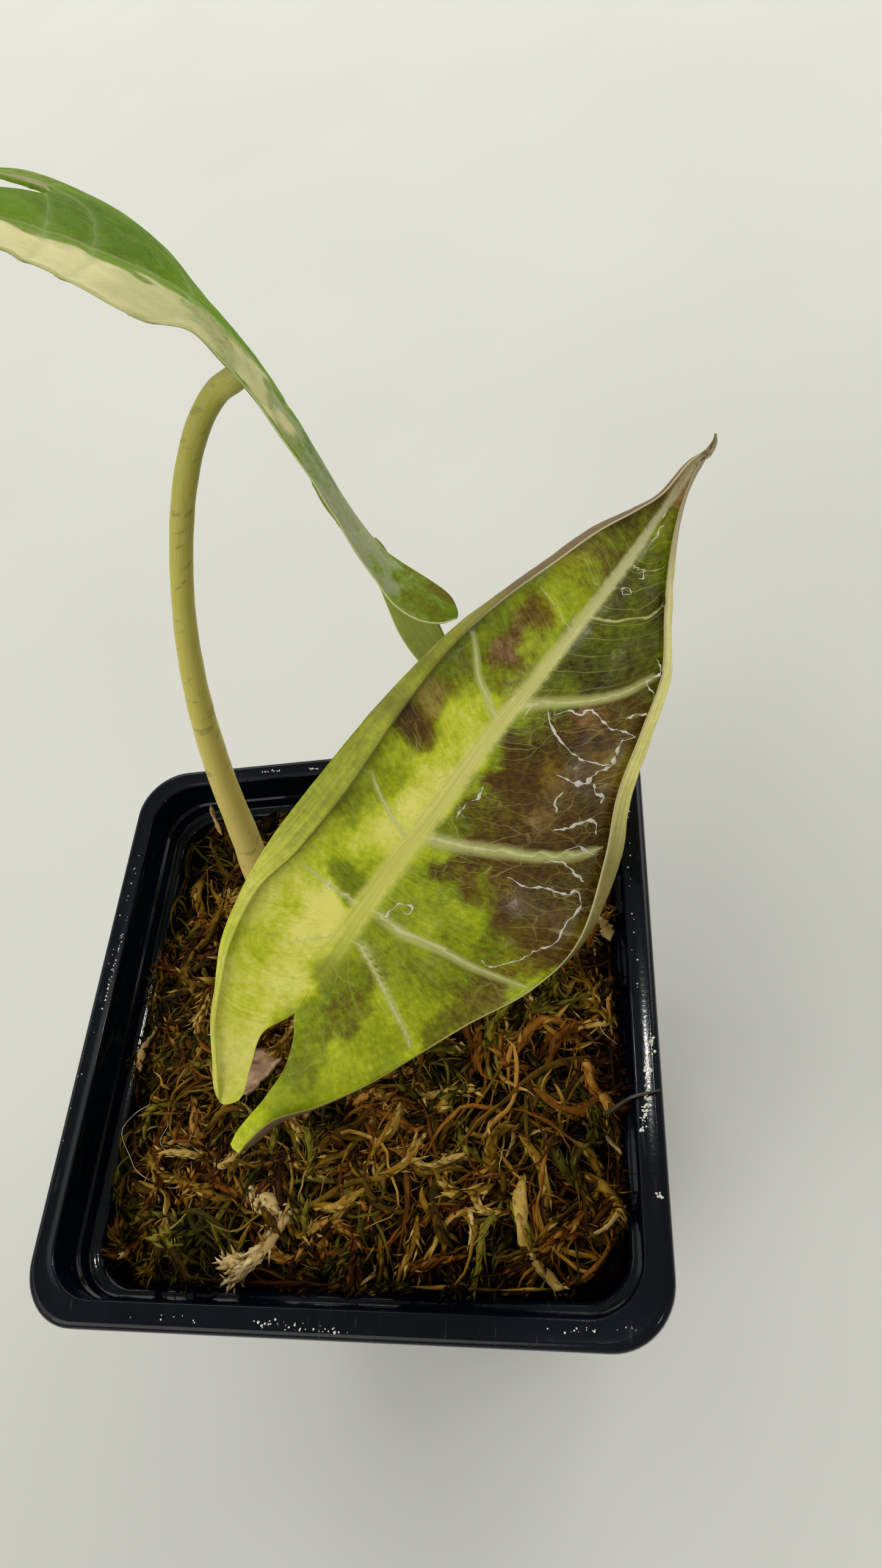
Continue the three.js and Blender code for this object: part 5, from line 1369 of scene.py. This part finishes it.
# %% Two white hairs on the moss and one dark strand over the rim
def thin_material(name, code, roughness):
    """A plain fibre: one colour, faintly mottled along its length, that reads as a thread."""
    material, shader, node = new_material(name)
    change = node("TexNoise", {"Vector": node("TexCoord", output="Object"), "Scale": 800.0})
    colour = node("Mix", {0: change, 6: code, 7: "#3a3226"}, **RGBA)
    plug(shader, {"Base Color": colour, "Roughness": roughness})
    return material


def thinning(radius, loss, power, t):
    """Radius that loses a share of itself by a power of the length."""
    return radius * (1 - loss * t ** power)


HAIRS = {
    "hair_ring": ([(-25, -24.6), (-28.6, -24.4), (-32.2, -22.8), (-34.8, -20), (-35.6, -16.6), (-33.6, -14.2),
                   (-30.4, -14), (-29, -16.4), (-29.6, -18.4), (-27, -20.4), (-23, -19.8)], 0.07, 2.2),
    "hair_short": ([(34.6, -2.4), (35.6, -4.8), (37.2, -6)], 0.06, 2.0),
}
RIM_STRAND = [(35.5, -15.6, 76.5), (37.4, -15, 78.4), (39.4, -14.4, 80.3), (41.4, -14, 80.4),
              (42.8, -13.7, 80.4)]
white_hair = thin_material("white_hair", "#e8dfc8", 0.35)
dark_fibre = thin_material("wet_dark_fibre", "#2a2412", 0.4)
for name, (route, radius, lift) in HAIRS.items():
    points, faces, _, _ = tube(on_moss(route, lift, 60)[0], partial(thinning, radius, 0.5, 1), 6, 120)
    add_piece(name, points, faces, white_hair)
points, faces, _, _ = tube(RIM_STRAND, partial(thinning, 0.32, 0.7, 2), 8, 60, 1.0, 0.2, 5)
add_piece("strand_on_rim", points, faces, dark_fibre)


# %% Water, with a painted white highlight in its colour
def water_material():
    """Water: mostly clear, almost no roughness, pale where it is thick, and bright where it glints. Its
    near-white base colour is a painted highlight that makes the thin ridges and beads read as glints."""
    material, shader, node = new_material("water_with_painted_glint")
    ripple = node("TexNoise", {"Vector": node("TexCoord", output="Object"), "Scale": 1500.0})
    plug(shader, {
        # The near-white base colour is a painted highlight, not a colour of water.
        "Base Color": "#fbfaf0",
        "Normal": node("Bump", {"Strength": 0.3, "Distance": 0.00005, "Height": ripple}),
        "Transmission Weight": 0.45, "IOR": 1.333, "Specular IOR Level": 1.0, "Roughness": 0.04})
    return material


water = water_material()

# %% Ridges of water on the front leaf: along, across, then the ridge's width
RIDGES = [
    ([(38.7, 5.3), (40.5, 6.8), (40.8, 8.1), (42.3, 8.9), (42, 11.1), (41.8, 12.8), (42.5, 13.9),
      (42.9, 15.9)], 0.34),
    ([(42.9, 15.9), (41.1, 14.9), (39.4, 15.3), (37.7, 15.7), (36, 14.7), (33.8, 14.2), (32.8, 13.3),
      (32.4, 11.3), (32, 10.4)], 0.5),
    ([(38.5, 4.2), (37, 6.1), (36.1, 8.7), (35.8, 10.7), (36.5, 13.2), (37.7, 15.7)], 0.3),
    ([(34.3, 15.2), (33.5, 16.2), (33.6, 17.6), (32.9, 17.5)], 0.45),
    ([(24.9, 3.3), (23.3, 3.7), (22.5, 3.2)], 0.45),
    ([(25.8, 14.4), (27.1, 15.7), (28.8, 16.8), (30.2, 18.4), (29, 19.8)], 0.4),
    ([(24.1, 17.5), (25.8, 18.4), (26.5, 20), (26.7, 21.4)], 0.45),
    ([(21.5, 16.2), (23, 18.2), (22.7, 20.9), (22.7, 22.4)], 0.36),
    ([(16.9, 13.2), (17.2, 15.9), (18.7, 18.4), (19.6, 21), (20.9, 22.4), (19.8, 23.7), (16, 23.6),
      (14.1, 23.9), (11.4, 22.5), (8.4, 21), (5.7, 18.8)], 0.34),
    ([(5.8, 17.1), (5.5, 18.1), (5.8, 19.2)], 0.4), ([(21.6, 2.7), (20.4, 2.8), (19.3, 2.8)], 0.4),
    ([(54.1, 12), (53.4, 13.4), (52.9, 13.8), (50.6, 13.2), (49.6, 14.9), (48.9, 15.9)], 0.34),
    ([(58.4, 3.1), (59.1, 3.8), (59.8, 3.1), (59.1, 2.4), (58.4, 3)], 0.22),
    ([(61.8, 3.4), (62.4, 4), (62.9, 3.4), (62.3, 2.9)], 0.2),
    ([(67.6, 1.8), (68.6, 2.2), (69.4, 1.6), (70.4, 1.9)], 0.24),
    ([(71.2, 1.2), (72.4, 1), (73, 0.6)], 0.24), ([(1.8, -6.1), (1.1, -5.3)], 0.35),
    ([(2.3, 3.1), (3.9, 3.2), (5, 3.5), (5.9, 5.2), (5, 5.5), (4.4, 4.8)], 0.3),
    ([(46.6, 16.2), (45.6, 14.4), (44.2, 13.6)], 0.3), ([(28, 13.4), (29.4, 12.2), (31, 12.6)], 0.3),
]
RIDGE_SIDES = 10
RIDGE_FLATNESS = 0.62


def ridge_on_leaf(route, width, seed):
    """A low half-sunk ridge: at each step its place and the leaf's normal are the mean of the six nearest
    leaf points, weighted by the inverse square of their distance, and its ring is an ellipse that lies on
    the skin."""
    steps = 9 * len(route)
    flat = through(route, np.linspace(0, len(route) - 1, steps))
    x, y = flat.T
    flat = flat + 0.1 * np.stack([wander(x, y, 1.6, seed), wander(x, y, 1.6, seed + 1)], 1)
    away = np.sum((flat_front[None, :, :2] - flat[:, None]) ** 2, -1)
    nearest = np.argpartition(away, 6, axis=1)[:, :6]
    weight = 1 / (np.take_along_axis(away, nearest, 1) + 0.02)
    weight = (weight / weight.sum(1, keepdims=True))[..., None]
    centre = np.sum(raised_front[nearest] * weight, 1)
    up = np.sum(front_normal[nearest] * weight, 1)
    up /= np.linalg.norm(up, axis=1, keepdims=True)
    beside = np.cross(np.gradient(centre, axis=0), up)
    beside /= np.linalg.norm(beside, axis=1, keepdims=True)
    share = np.linspace(-1, 1, steps)
    uneven = 0.75 + 0.8 * wander(flat[:, 0], flat[:, 1], 1.7, seed + 2)
    size = np.maximum(width / 2 * np.sqrt(1.02 - share ** 2) * uneven, 0.04)
    angle = np.arange(RIDGE_SIDES) / RIDGE_SIDES * 2 * np.pi
    ring = (np.cos(angle)[None, :, None] * beside[:, None]
            + RIDGE_FLATNESS * np.sin(angle)[None, :, None] * up[:, None])
    centre = centre + up * (BLADE_HALF + 0.01)
    return skin(centre[:, None] + size[:, None, None] * ring)


points, faces = joined([ridge_on_leaf(route, width, 200 + 5 * k) for k, (route, width) in enumerate(RIDGES)])
add_piece("water_ridges", points, faces, water)


# %% Beads of water on the rim
def beads(places, radii, flatness):
    """Domes on the flat rim, all at once: three rings of eight points, a foot and a top."""
    angle = np.arange(8) / 8 * 2 * np.pi
    rings = [np.stack([r * np.cos(angle), r * np.sin(angle), np.full(8, h)], 1)
             for r, h in ((1, 0), (0.88, 0.5), (0.5, 0.87))]
    dome = np.concatenate(rings + [[[0, 0, 0]], [[0, 0, 1]]])
    shape = np.stack([radii, radii, radii * flatness], 1)
    points = (places[:, None] + dome[None] * shape[:, None]).reshape(-1, 3)
    return points, repeated(tube_faces(3, 8), len(places), len(dome))


# Each line of beads: two ends on the rim, how many, how far they stray, and their radii
BEAD_LINES = [
    ((40.3, -18.6), (42.2, -6.2), 90, 0.5, (0.08, 0.3)),
    ((41.2, -25.4), (42.4, -26.6), 12, 0.3, (0.1, 0.25)),
    ((-40.7, -1), (-40.2, 16), 40, 0.25, (0.08, 0.22)), ((-9, -41.4), (3.4, -42), 40, 0.5, (0.08, 0.22)),
    ((28, -41), (39, -40.4), 16, 0.4, (0.08, 0.16)), ((-20.4, 41.2), (-17, 41.2), 14, 0.15, (0.1, 0.24)),
    ((-12.5, 40.9), (-10.2, 40.9), 10, 0.15, (0.1, 0.24)),
    ((-42.2, -20), (-40.6, 30), 20, 0.5, (0.08, 0.2)), ((40.6, 0), (40.6, 30), 18, 0.5, (0.08, 0.2)),
    ((-30, -41.4), (-12, -41.6), 7, 0.6, (0.08, 0.14)),
]
RIM_INSET = 0.6
draw = np.random.default_rng(7)
places, radii = [], []
for start, end, count, stray, size in BEAD_LINES:
    share = draw.uniform(0, 1, (count, 1))
    on_line = np.array(start) * (1 - share) + np.array(end) * share
    places.append(on_line + draw.normal(0, stray / 2, (count, 2)))
    radii.append(draw.uniform(*size, count) * (1 - 0.6 * draw.uniform(0, 1, count)))
places = np.clip(np.concatenate(places), RIM_INSET - RIM_HALF, RIM_HALF - RIM_INSET)
places = np.column_stack([places, np.full(len(places), RIM_HEIGHT - 0.03)])
points, faces = beads(places, np.concatenate(radii), 0.55)
add_piece("water_beads", points, faces, water)

# %% [markdown]
# ## The rootstock and the dry scale leaf
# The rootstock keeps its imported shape, since it is buried. The dry scale leaf that shows in the notch of
# the front leaf is a cupped sheet, crinkled by a random field and given its thickness as a slab.

# %% The rootstock's finish
def rough_material(name, stops, size_mm, roughness, depth_mm):
    """Dry plant matter: blotches of a few browns, a matt surface and a relief of the same pattern."""
    material, shader, node = new_material(name)
    place = node("TexCoord", output="Object")
    blotch = node("TexNoise", {"Vector": place, "Scale": 1000 / size_mm, "Detail": 5.0, "Roughness": 0.65})
    plug(shader, {
        "Base Color": node("ValToRGB", {0: blotch}, stops=stops),
        "Normal": node("Bump", {"Strength": 0.5, "Distance": depth_mm * MM, "Height": blotch}),
        "Roughness": roughness})
    return material


corm_bark = rough_material("corm_skin", [(0.25, "#5a4426"), (0.5, "#9c7f4e"), (0.75, "#d2bd8c")],
                           2.0, 0.7, 0.3)
for material_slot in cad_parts["rootstock"].material_slots:
    material_slot.material = corm_bark
print("rootstock keeps its packed shape")

# %% The scale leaf: its root, the way it points in degrees, and its sizes
SCALE_AT = (-13.4, -2.4, 70.5)
SCALE_HEADING = 250
SCALE_REACH = 10.6
SCALE_WIDTH = 7.4
SCALE_RISE = 7.5
SCALE_BEND = 1.35
SCALE_CUP = 0.09
SCALE_HALF = 0.16
SCALE_ROWS = 60
SCALE_COLUMNS = 41

t = np.linspace(0, 1, SCALE_ROWS)[:, None]
half_width = SCALE_WIDTH / 2 * np.sqrt(1 - 0.75 * (1 - t) ** 2) * (1 - 0.45 * t * t)
y = half_width * np.linspace(-1, 1, SCALE_COLUMNS)
x = np.broadcast_to(SCALE_REACH * t, y.shape)
z = SCALE_RISE * np.sin(SCALE_BEND * t) + SCALE_CUP * y * y
crinkle = 0.35 * wander(x, y, 4, 51) + 0.16 * wander(x, y, 1.7, 52)
flat = np.stack([x, y, z + crinkle], -1).reshape(-1, 3)
turn = np.radians(SCALE_HEADING)
spin = np.array([[np.cos(turn), np.sin(turn), 0], [-np.sin(turn), np.cos(turn), 0], [0, 0, 1]])
half = np.full(len(flat), SCALE_HALF)
points, faces = slab(flat, grid_faces(SCALE_ROWS, SCALE_COLUMNS)[:, ::-1], half, half)
papery = rough_material("dry_papery_sheath", [(0.25, "#6a4a30"), (0.5, "#a07c5c"), (0.72, "#c8a886")],
                        3.0, 0.65, 0.15)
placed = points @ spin + np.array(SCALE_AT)
add_piece("scale_leaf_sheet", placed, [faces], papery, ("scale_leaf",))

# %% [markdown]
# ## The studio
# A pale matt floor, and four large soft panels low round the plant. None stands where the flat flange and
# the wet half of the leaf would mirror it towards the camera, so these stay dark. Two small lamps that only
# mirrors see make the glints in the water.

# %% The floor
def paper_floor():
    """Pale matt paper with a faint cloud, so that the eye sees a plain ground."""
    material, shader, node = new_material("pale_matt_paper")
    cloud = node("TexNoise", {"Vector": node("TexCoord", output="Object"), "Scale": 9.0, "Detail": 2.0})
    colour = node("ValToRGB", {0: cloud}, stops=[(0.3, "#cccdc8"), (0.7, "#d0d1cd")])
    plug(shader, {"Base Color": colour, "Roughness": 0.9})
    return material


FLOOR_REACH = 30.0
floor_mesh = bpy.data.meshes.new("floor")
corners = [(x * FLOOR_REACH, y * FLOOR_REACH, 0) for x, y in ((-1, -1), (1, -1), (1, 1), (-1, 1))]
floor_mesh.from_pydata(corners, [], [(0, 1, 2, 3)])
floor_mesh.materials.append(paper_floor())
floor = bpy.data.objects.new("floor", floor_mesh)
bpy.context.scene.collection.objects.link(floor)
print("floor reaches", FLOOR_REACH, "m each way")

# %% The world lights the plant at one strength, and the camera sees it at another
WORLD_COLOUR = "#d9d9d1"
WORLD_LIGHT = 0.68
WORLD_SEEN = 0.95

world = bpy.context.scene.world or bpy.data.worlds.new("studio")
bpy.context.scene.world = world
world.use_nodes = True
seen = add(world, "LightPath", output="Is Camera Ray")
strength = add(world, "MapRange", {0: seen, 3: WORLD_LIGHT, 4: WORLD_SEEN})
plug(world.node_tree.nodes["Background"], {"Color": WORLD_COLOUR, "Strength": strength})
bpy.context.scene.view_settings.view_transform = "Standard"
bpy.context.scene.view_settings.look = "None"
print("world strength:", WORLD_LIGHT, "as light,", WORLD_SEEN, "as seen")


# %% Soft panels and small lamps
LAMP_COLOUR = "#fffdf6"
LAMPS_FACE = (0, 0, 0.09)


def panel(name, azimuth, elevation, distance, width, height, power):
    """An area light on a sphere round the plant, turned to its middle; sizes in metres, power in watts."""
    light = bpy.data.lights.new(name, "AREA")
    light.shape = "RECTANGLE"
    light.size = width
    light.size_y = height
    light.energy = power
    light.color = linear(LAMP_COLOUR)[:3]
    lamp = bpy.data.objects.new(name, light)
    bpy.context.scene.collection.objects.link(lamp)
    turn, rise = math.radians(azimuth), math.radians(elevation)
    away = np.array([math.cos(rise) * math.cos(turn), math.cos(rise) * math.sin(turn), math.sin(rise)])
    faced = Matrix.Rotation(turn + math.pi / 2, 4, "Z") @ Matrix.Rotation(math.pi / 2 - rise, 4, "X")
    lamp.matrix_world = Matrix.Translation(away * distance + LAMPS_FACE) @ faced
    print(name, "gives", power, "W")
    return lamp


panel("panel_left", 185, 34, 1.8, 1.6, 0.9, 6.5)
panel("panel_back", 100, 26, 2.0, 2.0, 0.8, 17)
panel("panel_right", 48, 26, 1.8, 1.5, 0.9, 13)
panel("panel_front", 235, 36, 1.8, 1.3, 0.9, 12)
for name, azimuth, elevation, power in (("glint_above", 100, 74, 1.2), ("glint_wet", -36, 40, 0.5)):
    glint = panel(name, azimuth, elevation, 0.8, 0.03, 0.03, power)
    glint.visible_diffuse = False
